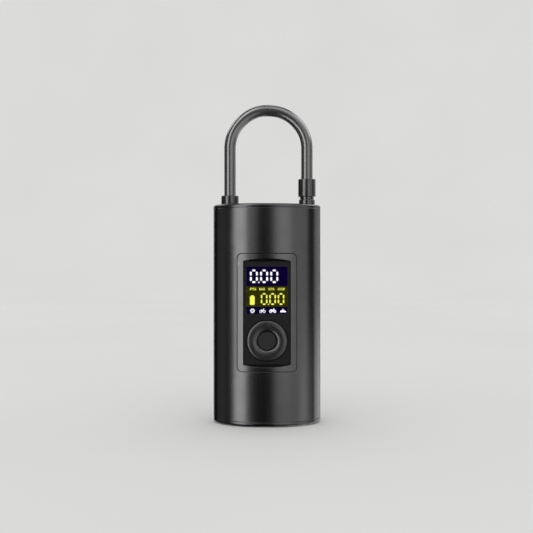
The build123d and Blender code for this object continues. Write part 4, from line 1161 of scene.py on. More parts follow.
@dataclass
class Chuck:
    """The screw-on chuck: a turned nut with a long nose, a neck and a grip."""

    nose: float = 5.3 * MM
    nose_round: float = 0.5 * MM
    shoulder: float = 0.7 * MM
    neck: float = 4.6 * MM
    neck_low: float = 12.9 * MM
    neck_high: float = 14.6 * MM
    grip: float = 5.8 * MM
    grip_low_round: float = 0.3 * MM
    grip_high_round: float = 0.45 * MM
    soft: float = 0.12 * MM
    hose_room: float = 4.02 * MM
    hose_deep: float = 3.0 * MM
    bore: float = 3.3 * MM
    seat: float = 2.0 * MM
    thread: float = 3.85 * MM
    thread_depth: float = 0.28 * MM
    thread_start: float = 0.4 * MM
    thread_runout: float = 0.5 * MM
    lead_in: float = 0.35 * MM
    pitch: float = 0.79 * MM
    threads: int = 9

    def outside(self, tall: float) -> list[Flat]:
        """Outlines the nose, neck and grip, from the foot up.

        Args:
            tall: the nut's height.

        Returns:
            Radius and height of each corner.
        """
        nose, grip, soft, low, high = self.nose, self.grip, self.soft, self.neck_low, self.neck_high
        r, r_low, r_high = self.nose_round, self.grip_low_round, self.grip_high_round
        return [
            (nose - r, 0.0), *arc((nose - r, r), r, -60, 0, 4),
            *arc((nose - self.shoulder, low - self.shoulder), self.shoulder, 0, 90, 6),
            (self.neck + soft, low), (self.neck, low + soft),
            (self.neck, high - soft), (self.neck + soft, high),
            *arc((grip - r_low, high + r_low), r_low, -90, 0, 4),
            *arc((grip - r_high, tall - r_high), r_high, 0, 90, 5),
        ]

    def inside(self, tall: float) -> list[Flat]:
        """Outlines the bore and its thread, from the top down.

        Args:
            tall: the nut's height.

        Returns:
            Radius and height of each corner.
        """
        inner_end = self.threads * self.pitch + self.thread_runout
        seat_z, step_z = inner_end + self.seat, tall - self.hose_deep
        outline = [
            (self.hose_room + self.soft, tall), (self.hose_room, tall - self.soft),
            (self.hose_room, step_z), (self.bore, step_z), (self.bore, seat_z),
            (self.thread, seat_z), (self.thread, inner_end),
        ]
        crest = self.thread - self.thread_depth
        turn = ((self.thread, 0.92), (crest, 0.6), (crest, 0.4), (self.thread, 0.08))
        for n in reversed(range(self.threads)):
            start = self.thread_start + n * self.pitch
            outline += [(radius, start + self.pitch * share) for radius, share in turn]
        return [*outline, (self.thread + self.lead_in, 0.0)]

    def build(self) -> list[Piece]:
        """Makes the nut.

        Returns:
            Everything on the hose's end.
        """
        tall = extent("chuck_nut")[2]
        centre = (middle("chuck_nut")[0], 0, box("chuck_nut")[0].z)
        nut = turned("chuck_nut_turned", self.outside(tall) + self.inside(tall), centre)
        fit(dress(crisp(nut), FITTING), "fitting_black", "chuck_nut", body="nut")
        parts = ("chuck_stem", "chuck_gasket", "valve_depressor")
        return [nut, *(frame["nodes"][name] for name in parts)]


# ---- body -----------------------------------------------------------------------------------
@dataclass
class Casing:
    """The drawn oval sleeve with its window."""

    wall: float = 1.8 * MM
    lap: float = 2.0 * MM
    window_round: float = 3.2 * MM
    edge: float = 0.28 * MM
    reach: float = math.radians(43)
    across: int = 32
    along: int = 40
    rest: int = 104
    margin: float = 6.5 * MM
    shares: tuple[float, ...] = (0.0, 0.3, 0.62, 1.0)

    def build(self) -> Piece:
        """Makes the sleeve: an even grid round the oval, closed up to the window's outline.

        Returns:
            The sleeve.
        """
        low, high = box("housing_sleeve")
        width, _, height = extent("window_bezel")
        size = (width - 2 * self.lap, height - 2 * self.lap)
        window_z = middle("window_bezel")[2]
        start_z, end_z = (window_z + side * (size[1] / 2 + self.margin) for side in (-1, 1))
        walls = ((high.x, high.y), (high.x - self.wall, high.y - self.wall))
        turns = even(-self.reach, self.reach, self.across)
        far_turns = even(self.reach, 2 * math.pi - self.reach, self.rest)
        rises = even(start_z, end_z, self.along)
        edge = [(t, start_z) for t in turns[:-1]] + [(self.reach, z) for z in rises[:-1]]
        edge += [(t, end_z) for t in turns[:0:-1]] + [(-self.reach, z) for z in rises[:0:-1]]
        hole = frame_outline(size, self.window_round, self.across, self.along)
        quads: list[list[Point]] = []
        mouths = []
        for radii in walls:
            loops = []
            for s in self.shares:
                loop = []
                for (x, z), (turn, rise) in zip(hole, edge):
                    bent = math.asin(x / radii[0]) * (1 - s) + turn * s
                    loop.append(self.on_oval(radii, bent, (window_z + z) * (1 - s) + rise * s))
                loops.append(loop)
            mouths.append(loops[0])
            for a, b in pairwise(loops):
                quads += self.band(a, b)
        quads += self.band(*mouths)
        below, above = even(low.z, start_z, 2), even(end_z, high.z, 2)
        grids = [(turns, below), (turns, above)]
        grids += [(far_turns, rows) for rows in (below, rises, above)]
        for radii, (columns, rows) in product(walls, grids):
            for (t0, t1), (z0, z1) in product(pairwise(columns), pairwise(rows)):
                corners = ((t0, z0), (t1, z0), (t1, z1), (t0, z1))
                quads.append([self.on_oval(radii, t, z) for t, z in corners])
        outer, inner = walls
        for z, columns in product((low.z, high.z), (turns, far_turns)):
            for t0, t1 in pairwise(columns):
                corners = ((outer, t0), (outer, t1), (inner, t1), (inner, t0))
                quads.append([self.on_oval(radii, t, z) for radii, t in corners])
        points = [p for quad in quads for p in quad]
        faces = [list(range(i, i + 4)) for i in range(0, len(points), 4)]
        obj = round_edges(shape("oval_sleeve", points, faces), self.edge, steps=3)
        return fit(dress(obj, SHELL), "anodised_shell", "housing_sleeve")

    @staticmethod
    def band(a: Sequence[Point], b: Sequence[Point]) -> list[list[Point]]:
        """The faces between two loops of equal length."""
        count = len(a)
        return [[a[i], a[(i + 1) % count], b[(i + 1) % count], b[i]] for i in range(count)]

    @staticmethod
    def on_oval(radii: Flat, turn: float, z: float) -> Point:
        """A point on an upright oval, by its turn from the front."""
        spot = (radii[0] * math.sin(turn), -radii[1] * math.cos(turn), z)
        return tuple(round(value, 9) for value in spot)


@dataclass
class WindowPanel:
    """The insert in the sleeve's window: a curved bezel, a flat fascia and the display's lens."""

    gap: float = 0.22 * MM
    lap: float = 2.0 * MM
    bezel_round: float = 2.98 * MM
    bezel_deep: float = 3.0 * MM
    bezel_edge: float = 0.24 * MM
    panel: Flat = (30.3 * MM, 66.2 * MM)
    panel_round: float = 0.4 * MM
    flare: float = 1.7 * MM
    shadow_gap: float = 0.45 * MM
    fascia_thick: float = 1.5 * MM
    fascia_edge: float = 0.1 * MM
    hole_round: float = 0.5 * MM
    lens_round: float = 0.45 * MM
    lens_edge: float = 0.06 * MM
    lens_gap: float = 0.05 * MM
    ring_gap: float = 0.35 * MM
    cutter_reach: float = 3.0 * MM
    # Painted shade: how far behind the face, and how steeply turned, a recess face must be to take
    # the near-black finish.
    shade_painted_from: float = 0.3 * MM
    shade_painted_lean: float = 0.8
    bezel_steps: tuple[int, int] = (32, 56)
    plate_steps: tuple[int, int] = (12, 16)

    def build(self) -> list[Piece]:
        """Makes the bezel, the fascia and the lens."""
        return [self.bezel(), self.fascia(), self.lens()]

    def on_face(self, x: float, z: float, deep: float = 0.0) -> Point:
        """The point of the body's oval front at x and z, or that deep behind it."""
        high = box("housing_sleeve")[1]
        return (x, -high.y * math.sqrt(1 - (x / high.x) ** 2) + deep, z)

    def bezel(self) -> Piece:
        """Makes the bezel, whose face carries on the body's curve; its recess walls carry a painted
        shade finish.

        Returns:
            The bezel.
        """
        width, _, height = extent("window_bezel")
        inset = 2 * self.lap + 2 * self.gap
        bezel_z, panel_z = middle("window_bezel")[2], middle("fascia_panel")[2]
        panel_y = box("fascia_panel")[0].y
        outer = frame_outline(
            (width - inset, height - inset), self.bezel_round, *self.bezel_steps, (0.0, bezel_z)
        )
        inner = frame_outline(self.panel, self.panel_round, *self.bezel_steps, (0.0, panel_z))
        slope = self.flare / (panel_y - self.on_face(0.0, 0.0)[1])
        mouth = []
        for x, z in inner:
            lean = (z - panel_z) / (self.panel[1] / 2)
            mouth.append((x, z + lean * slope * (panel_y - self.on_face(x, z)[1])))
        loops = [[self.on_face(x, z, self.bezel_deep) for x, z in outer]]
        for s in (0.0, 0.25, 0.6, 1.0):
            spots = (
                (a[0] * (1 - s) + b[0] * s, a[1] * (1 - s) + b[1] * s) for a, b in zip(outer, mouth)
            )
            loops.append([self.on_face(x, z) for x, z in spots])
        for deep in (0.0, self.fascia_thick):
            loops.append([(x, panel_y + deep, z) for x, z in inner])
        obj = skin("window_bezel_curved", loops, ring=True)
        dress(round_edges(obj, self.bezel_edge, steps=3, angle=40), BEZEL, RECESS_PAINTED_SHADE)
        # Painted shade: faces inside the recess, set back behind the face or turned steeply away
        # from it, take the near-black finish.
        for face in obj.data.polygons:
            x, y, z = face.center
            inside = abs(x) < self.panel[0] / 2 + 0.05 * MM
            behind = y > self.on_face(x, z, self.shade_painted_from)[1]
            if inside and (behind or abs(face.normal.y) < self.shade_painted_lean):
                face.material_index = 1
        return fit(obj, "bezel_black", "window_bezel")

    def fascia(self) -> Piece:
        """Makes the flat fascia, with its openings for the display and the round control.

        Returns:
            The fascia.
        """
        front, reach = box("fascia_panel")[0].y, self.cutter_reach
        width, _, height = extent("fascia_panel")
        size = (width - 2 * self.shadow_gap, height)
        centre = (0.0, middle("fascia_panel")[2])
        outline = frame_outline(size, self.panel_round, *self.plate_steps, centre)
        obj = slab("fascia_plate", outline, front, front + self.fascia_thick)
        width, _, height = extent("display_lens")
        size = (width + 2 * self.lens_gap, height + 2 * self.lens_gap)
        centre = (0.0, middle("display_lens")[2])
        window = frame_outline(size, self.hole_round, *self.plate_steps, centre)
        round_hole = turned(
            "round_hole", plug(Control.ring_radius + self.ring_gap, -reach, reach),
            (0.0, front, middle("control_ring")[2]), across=True, ring=False,
        )
        cut(obj, slab("display_hole", window, front - reach, front + reach), round_hole)
        return fit(dress(round_edges(obj, self.fascia_edge), PANEL), "panel_black", "fascia_panel")

    def lens(self) -> Piece:
        """Makes the clear lens over the display.

        Returns:
            The lens.
        """
        low, high = box("display_lens")
        size, centre = extent("display_lens")[::2], (0.0, middle("display_lens")[2])
        outline = frame_outline(size, self.lens_round, *self.plate_steps, centre)
        obj = slab("display_lens_clear", outline, low.y, high.y, edge=self.lens_edge)
        return fit(dress(obj, LENS), "lens_clear", "display_lens")


@dataclass(frozen=True)
class Readout:
    """A row of zeros with a decimal point; heights count down from the display's top."""

    name: str
    lefts: tuple[float, ...]
    base: float
    size: Flat
    stroke: float
    point_x: float
    point_rise: float
    point_radius: float
    finish: Glow


@dataclass
class Screen:
    """What the display shows: two rows of digits, units, a battery bar and four icons."""

    strokes: Tree
    field_deep: float = 0.04 * MM
    above_field: float = 0.09 * MM
    thin: float = 0.02 * MM
    fields: tuple[float, ...] = (0.0, 12.4 * MM, 25.7 * MM)
    overlap: float = 0.12 * MM
    rows: tuple[Readout, ...] = (
        Readout(
            "pressure", mm(-10.97, -4.4, 2.1), 10.48 * MM, mm(5.15, 8.75), 1.28 * MM,
            -5.14 * MM, 0.45 * MM, 0.5 * MM, WHITE_SEGMENTS,
        ),
        Readout(
            "target", mm(-3.95, 1.47, 6.86), 24.46 * MM, mm(4.3, 7.6), 1.0 * MM,
            0.98 * MM, 0.42 * MM, 0.42 * MM, YELLOW_SEGMENTS,
        ),
    )
    unit_top: float = 13.48 * MM
    unit_tall: float = 1.62 * MM
    units: tuple[tuple[str, float, float], ...] = (
        ("PSI", *mm(-10.86, -7.04)), ("BAR", *mm(-4.92, -1.11)),
        ("KPA", *mm(1.01, 4.87)), ("KG/CM²", *mm(7.0, 11.5)),
    )
    battery: tuple[float, ...] = mm(-10.96, -7.84, 18.27, 24.46)
    battery_round: float = 0.75 * MM
    nub_tall: float = 0.5 * MM
    icon_middle: float = 28.2 * MM
    mark_lift: float = 0.04 * MM
    bar_inset: float = 0.72
    post_inset: float = 0.62
    post_split: float = 0.36
    segment_end: float = 0.62
    nub_half: float = 0.3
    nub_taper: float = 0.8

    def __post_init__(self) -> None:
        """Measures the display behind its lens."""
        self.low, self.high = box("display_lens")
        self.top = self.high.z
        self.back = box("lcd_module")[0].y
        self.front = self.back - self.field_deep - self.above_field

    def build(self) -> list[Piece]:
        """Draws everything the display shows, just behind its lens.

        Returns:
            The pieces.
        """
        ends = (*self.fields[1:], self.top - self.low.z)
        names, finishes = ("top", "middle", "bottom"), (BLUE_FIELD, OLIVE_FIELD, BLUE_FIELD)
        made = [self.field(*each) for each in zip(names, self.fields, ends, finishes)]
        made += [self.digits(row) for row in self.rows]
        made += [self.point(row) for row in self.rows]
        made += [self.battery_bar(), *(self.unit(*unit) for unit in self.units), *self.icons()]
        return [fit(obj, "lcd_dark") for obj in made]

    def field(self, name: str, start: float, end: float, finish: Glow) -> Piece:
        """Makes one lit field of the display.

        Args:
            name: which field.
            start: its top, below the display's top.
            end: its bottom, likewise.
            finish: its glow.

        Returns:
            The piece.
        """
        z1 = self.top - start + (self.overlap if start <= 0 else 0)
        z0 = self.top - end - (self.overlap if end >= self.top - self.low.z - TINY else 0)
        x0, x1 = self.low.x - self.overlap, self.high.x + self.overlap
        outline = [(x0, z0), (x1, z0), (x1, z1), (x0, z1)]
        plate = slab(f"display_field_{name}", outline, self.back - self.field_deep, self.back)
        return dress(plate, finish)

    def draw(
        self, name: str, lines: Sequence[Line], width: float, finish: Finish,
        end_width: float = 1.0, closed: bool = False, lift: float = 0.0,
    ) -> Piece:
        """Draws lit lines on the display.

        Args:
            name: the piece's name.
            lines: runs of x and z.
            width: the lines' width.
            finish: their finish.
            end_width: share of the width left at their ends.
            closed: whether each line joins its start.
            lift: how far in front of the usual plane they lie.

        Returns:
            The piece.
        """
        y = self.front - lift
        points: list[Point] = []
        edges: list[tuple[int, int]] = []
        for line in lines:
            start = len(points)
            points += [(x, y, z) for x, z in line]
            edges += pairwise(range(start, len(points)))
            if closed:
                edges.append((len(points) - 1, start))
        seed = bpy.data.meshes.new(name)
        seed.from_pydata(points, edges, [])
        return self.strokes.run(
            name, seed, finish, Bar_Width=width, Flatness=STROKE_FLATNESS, Plane=y,
            End_Width=end_width,
        )

    def digits(self, row: Readout) -> Piece:
        """Draws a row of zeros in six segments each.

        Args:
            row: the row.

        Returns:
            The piece.
        """
        lines: list[list[Flat]] = []
        width = row.stroke
        side, foot, gap = self.bar_inset * width, self.post_inset * width, self.post_split * width
        for left in row.lefts:
            x0, x1 = left + width / 2, left + row.size[0] - width / 2
            z0 = self.top - row.base + width / 2
            z1 = self.top - row.base + row.size[1] - width / 2
            centre = (z0 + z1) / 2
            for z in (z0, z1):
                lines.append([(x0 + side, z), (x1 - side, z)])
            for x in (x0, x1):
                lines.append([(x, z0 + foot), (x, centre - gap)])
                lines.append([(x, centre + gap), (x, z1 - foot)])
        return self.draw(f"{row.name}_digits", lines, width, row.finish, self.segment_end)

    def point(self, row: Readout) -> Piece:
        """Makes a row's round decimal point.

        Args:
            row: the row.

        Returns:
            The piece.
        """
        centre = (row.point_x, self.front, self.top - (row.base - row.point_rise))
        outline = plug(row.point_radius, -self.thin, self.thin)
        dot = turned(f"{row.name}_point", outline, centre, across=True, count=20, ring=False)
        return dress(crisp(dot), row.finish)

    def plate(self, name: str, outline: Line, finish: Glow) -> Piece:
        """Makes a thin lit plate from an outline in x and z."""
        return dress(slab(name, outline, self.front - self.thin, self.front + self.thin), finish)

    def battery_bar(self) -> Piece:
        """Makes the battery bar, with the small end on its top.

        Returns:
            The piece.
        """
        left, right, top, foot = self.battery
        width, tall = right - left, foot - top - self.nub_tall
        x, z = (left + right) / 2, self.top - foot + tall / 2
        body = frame_outline((width, tall), self.battery_round, 10, 12, (x, z), turn=3)
        nub, shoulder = width * self.nub_half, z + tall / 2
        outline = [p for p in body if p[1] <= shoulder - TINY or abs(p[0] - x) > nub]
        outline += [(x + side * nub, shoulder) for side in (1, -1)]
        outline += [(x + side * nub * self.nub_taper, self.top - top) for side in (1, -1)]
        outline.sort(key=lambda p: math.atan2(p[1] - z, p[0] - x))
        return self.plate("battery_bar", outline, YELLOW_SEGMENTS)

    def unit(self, word: str, left: float, right: float) -> Piece:
        """Sets one unit's label.

        Args:
            word: the label.
            left: its left side.
            right: its right side.

        Returns:
            The piece.
        """
        data = bpy.data.curves.new("unit", "FONT")
        data.body = word
        data.size = 1.0
        data.extrude = 0.01
        data.offset = 0.01
        text = bpy.data.objects.new("unit", data)
        bpy.context.scene.collection.objects.link(text)
        bpy.context.view_layer.update()
        mesh = bpy.data.meshes.new_from_object(text)
        bpy.data.objects.remove(text)
        spots = np.array([tuple(v.co) for v in mesh.vertices])
        low, high = spots.min(0), spots.max(0)
        scale = (right - left) / (high[0] - low[0])
        rise = self.unit_tall / (high[1] - low[1])
        foot = self.top - self.unit_top - self.unit_tall
        for vertex, (x, z, y) in zip(mesh.vertices, spots):
            vertex.co = (
                left + (x - low[0]) * scale, self.front - y * 2 * MM, foot + (z - low[1]) * rise
            )
        clean = "".join(c for c in word.lower() if c.isascii() and c.isalpha())
        return dress(link(f"unit_{clean}", weld(mesh, TINY * 10, outwards=False)), YELLOW_SEGMENTS)

    def icons(self) -> list[Piece]:
        """Draws the ball, bicycle, motorcycle and car, from runs in mm about the icons' middle.

        Returns:
            The pieces.
        """
        z = self.top - self.icon_middle

        def placed(*runs: Line) -> list[Line]:
            """Sets runs in place on the display."""
            return [[(x * MM, z + h * MM) for x, h in run] for run in runs]

        def circle(x: float, h: float, radius: float, count: int = 20) -> Line:
            """Points round a circle, for a wheel or a ball."""
            return arc((x * MM, z + h * MM), radius * MM, 0, 360, count)[:-1]

        ball_x, white, blue = -9.27, WHITE_SEGMENTS, BLUE_FIELD
        seams = [
            [(ball_x * MM + r * math.cos(t), z + r * math.sin(t)) for r in mm(0.5, 1.3)]
            for t in turns_round(5)
        ]
        bicycle = placed(
            [(-3.92, -0.45), (-3.3, 0.4), (-2.85, -0.45), (-3.92, -0.45)],
            [(-3.3, 0.4), (-2.15, 0.5), (-2.85, -0.45)],
            [(-1.74, -0.45), (-2.35, 1.3), (-1.8, 1.45)],
            [(-3.6, 0.75), (-3.05, 0.75)],
        )
        motorcycle = placed(
            [(2.35, -0.45), (2.9, 0.35), (4.2, 0.45), (4.75, 0.95)],
            [(2.2, 0.55), (3.1, 0.6), (3.6, 0.35)],
            [(5.0, -0.45), (4.45, 1.15), (3.95, 1.25)],
            [(3.1, -0.35), (4.2, -0.3)],
        )
        car, *windows = placed(
            [
                (8.4, -1.0), (12.2, -1.0), (12.25, -0.35), (11.7, 0.0), (11.05, 0.25),
                (10.55, 1.15), (9.9, 1.15), (9.35, 0.3), (8.55, 0.05),
            ],
            [(9.75, 0.35), (10.0, 0.75), (10.12, 0.75)],
            [(10.34, 0.75), (10.45, 0.75), (10.7, 0.35)],
        )
        wheels = [circle(x, -0.45, 0.78) for x in (-3.92, -1.74)]
        motor_wheels = [circle(x, -0.45, 0.72) for x in (2.35, 5.0)]
        patch = [circle(ball_x, 0.0, 0.48, 5)]
        lift = self.mark_lift
        return [
            self.plate("icon_ball", circle(ball_x, 0.0, 1.42, 32), white),
            self.draw("icon_ball_seams", seams, 0.26 * MM, blue, lift=lift),
            self.draw("icon_ball_patch", patch, 0.34 * MM, blue, closed=True, lift=lift),
            self.draw("icon_bicycle_wheels", wheels, 0.34 * MM, white, closed=True),
            self.draw("icon_bicycle_frame", bicycle, 0.3 * MM, white),
            self.draw("icon_motorcycle_wheels", motor_wheels, 0.46 * MM, white, closed=True),
            self.draw("icon_motorcycle_frame", motorcycle, 0.62 * MM, white),
            self.plate("icon_car", car, white),
            self.draw("icon_car_windows", windows, 0.3 * MM, blue, lift=lift),
        ]


@dataclass
class Control:
    """The round control: a domed rocker ring with a start key in its middle."""

    ring_radius: float = 12.85 * MM
    crest_radius: float = 9.8 * MM
    inner_radius: float = 6.15 * MM
    dish_gap: float = 0.12 * MM
    crest: float = 1.8 * MM
    inner_height: float = 0.25 * MM
    shoulder: float = 0.9 * MM
    skirt: float = 1.8 * MM
    skirt_wall: float = 1.3 * MM
    hub_wall: float = 1.2 * MM
    key_radius: float = 5.9 * MM
    key_round: float = 0.3 * MM
    key_proud: float = 0.25 * MM
    key_dish: float = 0.1 * MM
    key_lip: float = 1.1 * MM
    key_stem: float = 2.4 * MM
    crisp_above: float = 50.0

    def build(self) -> list[Piece]:
        """Makes the ring and the key."""
        return [self.ring(), self.key()]

    def turn(self, name: str, outline: Line, count: int, ring: bool, finish: Finish) -> Piece:
        """Turns a piece about the control's axis, its places counted from the fascia's front.

        Args:
            name: the piece's name.
            outline: radius and depth of each corner.
            count: segments round it.
            ring: whether it is open in the middle.
            finish: its finish.

        Returns:
            The piece.
        """
        centre = (0.0, box("fascia_panel")[0].y, middle("control_ring")[2])
        obj = turned(name, outline, centre, across=True, count=count, ring=ring)
        return dress(crisp(obj, self.crisp_above), finish)

    def ring(self) -> Piece:
        """Makes the domed ring that rocks.

        Returns:
            The ring.
        """
        crest, outer, inner = self.crest_radius, self.ring_radius, self.inner_radius
        drop = self.crest - self.inner_height
        dish = arc((crest, -self.inner_height), crest - inner - self.dish_gap, 180, 270, 20, drop)
        edge = arc((crest, self.shoulder - self.crest), outer - crest, -90, 0, 14, self.shoulder)
        outline = [
            *dish, *edge[1:], (outer, 0.3 * MM), (outer, self.skirt),
            (outer - self.skirt_wall, self.skirt), (outer - self.skirt_wall, 0.6 * MM),
            (inner + self.hub_wall, 0.8 * MM), (inner + 0.1 * MM, 0.8 * MM),
            (inner, 0.7 * MM), (inner, -0.1 * MM),
        ]
        obj = self.turn("rocker_ring_domed", outline, 128, True, RING)
        return fit(obj, "control_black", "control_ring", body="rocker_ring")

    def key(self) -> Piece:
        """Makes the dished key in the ring's middle.

        Returns:
            The key.
        """
        proud, r = self.key_proud, self.key_round
        dish = ((0.0, 1.0), (2.0 * MM, 0.9), (4.2 * MM, 0.3), (5.0 * MM, 0.0))
        deep = box("centre_key")[1].y - box("fascia_panel")[0].y
        outline = [
            *((radius, self.key_dish * share - proud) for radius, share in dish),
            *arc((self.key_radius - r, r - proud), r, -90, 0, 5),
            (self.key_radius, 1.45 * MM), (self.key_radius + self.key_lip, 1.45 * MM),
            (self.key_radius + self.key_lip, 2.05 * MM), (self.key_stem, 2.05 * MM),
            (self.key_stem, deep), (0.0, deep),
        ]
        obj = self.turn("start_key_dished", outline, 96, False, KEY)
        return fit(obj, "key_black", "centre_key", body="start_key")


@dataclass
class EndCap:
    """What both end caps share: a rim with a rounded face and a plug that closes the sleeve."""

    copies: Tree
    wall: float = 1.8 * MM
    plug_gap: float = 0.15 * MM
    plug_deep: float = 6.0 * MM
    rounding: float = 1.5 * MM
    seam_groove: float = 0.24 * MM
    rim_sides: int = 160

    def body(self, name: str, half: Flat, seam: float, face: float) -> Piece:
        """Makes a cap before anything is cut into it.

        Args:
            name: the piece's name.
            half: half its width and depth.
            seam: height where it meets the sleeve.
            face: height of its outer face.

        Returns:
            The cap.
        """
        way = 1 if face > seam else -1
        inset, groove, r = self.wall + self.plug_gap, self.seam_groove, self.rounding
        hollow = inset + self.wall
        places = [(hollow, 0.0), (hollow, -self.plug_deep), (inset, -self.plug_deep), (inset, 0.0)]
        places += [(groove, 0.0), (groove * 0.3, groove * 0.3), (0.0, groove)]
        rows = [(inward, seam + way * up) for inward, up in places]
        rows += [(inward, face + way * up) for inward, up in arc((r, -r), r, 180, 90, 8)]
        loops = [
            oval_loop(half[0] - inward, half[1] - inward, z, self.rim_sides) for inward, z in rows
        ]
        return skin(name, loops[::way], lids=True)


@dataclass
class TopEnd(EndCap):
    """The top cap with its collar, stowing socket, work lamp and charging port."""

    socket_gap: float = 0.25 * MM
    socket_round: float = 0.2 * MM
    lamp: Flat = (17.0 * MM, 6.4 * MM)
    port: Flat = (9.0 * MM, 3.3 * MM)
    cutter_reach: float = 9.0 * MM
    small_edge: float = 0.18 * MM
    collar_hole: float = 5.1 * MM
    collar_shank: float = 5.0 * MM
    collar_rounding: float = 0.7 * MM
    collar_foot: float = 0.25 * MM
    hose_gap: float = 0.06 * MM
    ribs: int = 13
    rib_radius: float = 0.42
    port_wall: float = 0.35 * MM
    port_flare: float = 0.3 * MM
    tongue: Flat = (3.3 * MM, 0.35 * MM)
    contact: Flat = (0.12 * MM, 0.03 * MM)
    contact_pitch: float = 0.5 * MM
    contacts: int = 12

    def build(self) -> list[Piece]:
        """Makes the cap and everything let into it."""
        return [
            self.cap(), self.collar(), self.socket(), *self.work_lamp(), *self.charging_port()
        ]

    def cap(self) -> Piece:
        """Makes the cap, with its openings for the collar, socket, lamp and port.

        Returns:
            The cap.
        """
        high, reach = box("top_cap")[1], self.cutter_reach
        obj = self.body("top_cap_rounded", (high.x, high.y), box("housing_sleeve")[1].z, high.z)
        holes = (
            ("collar_hole", "hose_collar", self.collar_hole),
            ("socket_hole", "stow_bushing", extent("stow_bushing")[0] / 2),
        )
        tools = []
        for name, node, radius in holes:
            centre = (middle(node)[0], 0, high.z)
            tools.append(turned(name, plug(radius, -reach, reach), centre, ring=False, count=80))
        slots = (("lamp_hole", self.lamp, "lamp_lens"), ("port_hole", self.port, "usb_c_port"))
        for name, size, node in slots:
            centre = (0, middle(node)[1])
            loops = [slot_loop(size, centre, high.z + side * reach) for side in (-1, 1)]
            tools.append(skin(name, loops, lids=True))
        round_edges(cut(obj, *tools), self.small_edge, angle=50)
        return fit(dress(obj, CAP), "cap_black", "top_cap")

    def collar(self) -> Piece:
        """Makes the ferrule that the hose leaves through.

        Returns:
            The collar.
        """
        low, high = box("hose_collar")
        top = box("top_cap")[1].z
        radius, tall = extent("hose_collar")[0] / 2, high.z - top
        bore = Hose.diameter / 2 + self.hose_gap
        r, foot = self.collar_rounding, self.collar_foot
        outline = [
            (self.collar_shank, low.z - top), (self.collar_shank, 0.02 * MM),
            *arc((radius - foot, foot + 0.02 * MM), foot, -90, 0, 4),
            *arc((radius - r, tall - r), r, 0, 90, 8),
            (bore + 0.3 * MM, tall), (bore, tall - 0.3 * MM), (bore, low.z - top),
        ]
        obj = turned("hose_collar_turned", outline, (middle("hose_collar")[0], 0, top))
        return fit(dress(crisp(obj), FITTING), "fitting_black", "hose_collar")

    def socket(self) -> Piece:
        """Makes the rubber liner of the socket that the chuck is stowed in.

        Returns:
            The liner.
        """
        width, _, tall = extent("stow_bushing")
        radius, bore, r = width / 2 - 0.02 * MM, Chuck.nose + self.socket_gap, self.socket_round
        outline = [
            (bore, 0), (radius, 0), (radius, tall - r), *arc((radius - r, tall - r), r, 0, 90, 4),
            (bore + 0.45 * MM, tall), (bore + 0.12 * MM, tall - 0.2 * MM), (bore, tall - 0.7 * MM),
        ]
        centre = (middle("stow_bushing")[0], 0, box("stow_bushing")[0].z)
        obj = crisp(turned("stow_socket_liner", outline, centre, count=80))
        return fit(dress(obj, BUSHING), "bushing_black", "stow_bushing")

    def work_lamp(self) -> list[Piece]:
        """Makes the frosted lamp lens, with fine ribs across it.

        Returns:
            The ribs and the lens.
        """
        low, high = box("lamp_lens")
        long, deep, _ = extent("lamp_lens")
        y, half = middle("lamp_lens")[1], deep / 2
        loops = [slot_loop((long, deep), (0.0, y), z) for z in (low.z, high.z - 0.5 * MM)]
        plate = dress(round_edges(skin("lamp_plate", loops, lids=True), 0.15 * MM), FROSTED)
        profile = arc((0.0, 0.0), self.rib_radius, 0, 180, 6)
        rib_ends = (-half * 0.9, half * 0.9)
        rib_loops = [[(a * MM, end, b * MM) for a, b in profile] for end in rib_ends]
        step = long * 0.84 / (self.ribs - 1)
        points, stretches = [], []
        for n in range(self.ribs):
            x = (n - (self.ribs - 1) / 2) * step
            over = max(0.0, abs(x) - (long / 2 - half))
            points.append((x, y, high.z - 0.52 * MM))
            stretches.append((1.0, math.sqrt(max(0.1, 1 - (over / half) ** 2)), 1.0))
        rib = skin("lamp_rib", rib_loops, lids=True)
        ribs = spread(self.copies, "lamp_ribs", rib, points, FROSTED, stretches)
        return [fit(ribs, "lamp_lens"), fit(plate, "lamp_lens", "lamp_lens")]

    def charging_port(self) -> list[Piece]:
        """Makes the port's metal shell, its tongue and two rows of contacts.

        Returns:
            The pieces.
        """
        low, high = box("usb_c_port")
        size, y = extent("usb_c_port")[:2], middle("usb_c_port")[1]
        inner = tuple(side - 2 * self.port_wall for side in size)
        mouth = tuple(side + self.port_flare for side in inner)
        rows = (
            (size, low.z), (size, high.z), (mouth, high.z), (inner, high.z - self.port_flare),
            (inner, low.z + MM),
        )
        shell = skin("port_shell", [slot_loop(each, (0.0, y), z) for each, z in rows], lids=True)
        top = high.z - 0.8 * MM
        loops = [square_loop(*self.tongue, z, y) for z in (low.z + 0.8 * MM, top)]
        tongue = round_edges(skin("port_tongue", loops, lids=True), 0.12 * MM)
        strip = skin("contact", [square_loop(*self.contact, z) for z in mm(-2.2, 0.0)], lids=True)
        columns = [(n - (self.contacts - 1) / 2) * self.contact_pitch for n in range(self.contacts)]
        points = [
            (x, y + side * self.tongue[1], top - 0.5 * MM) for x, side in product(columns, (-1, 1))
        ]
        contacts = spread(self.copies, "port_contacts", strip, points, GOLD)
        return [
            fit(dress(crisp(shell), PORT_STEEL), "port_steel", "usb_c_port"),
            fit(dress(tongue, PARTS_BLACK), "port_steel"),
            fit(contacts, "port_steel"),
        ]


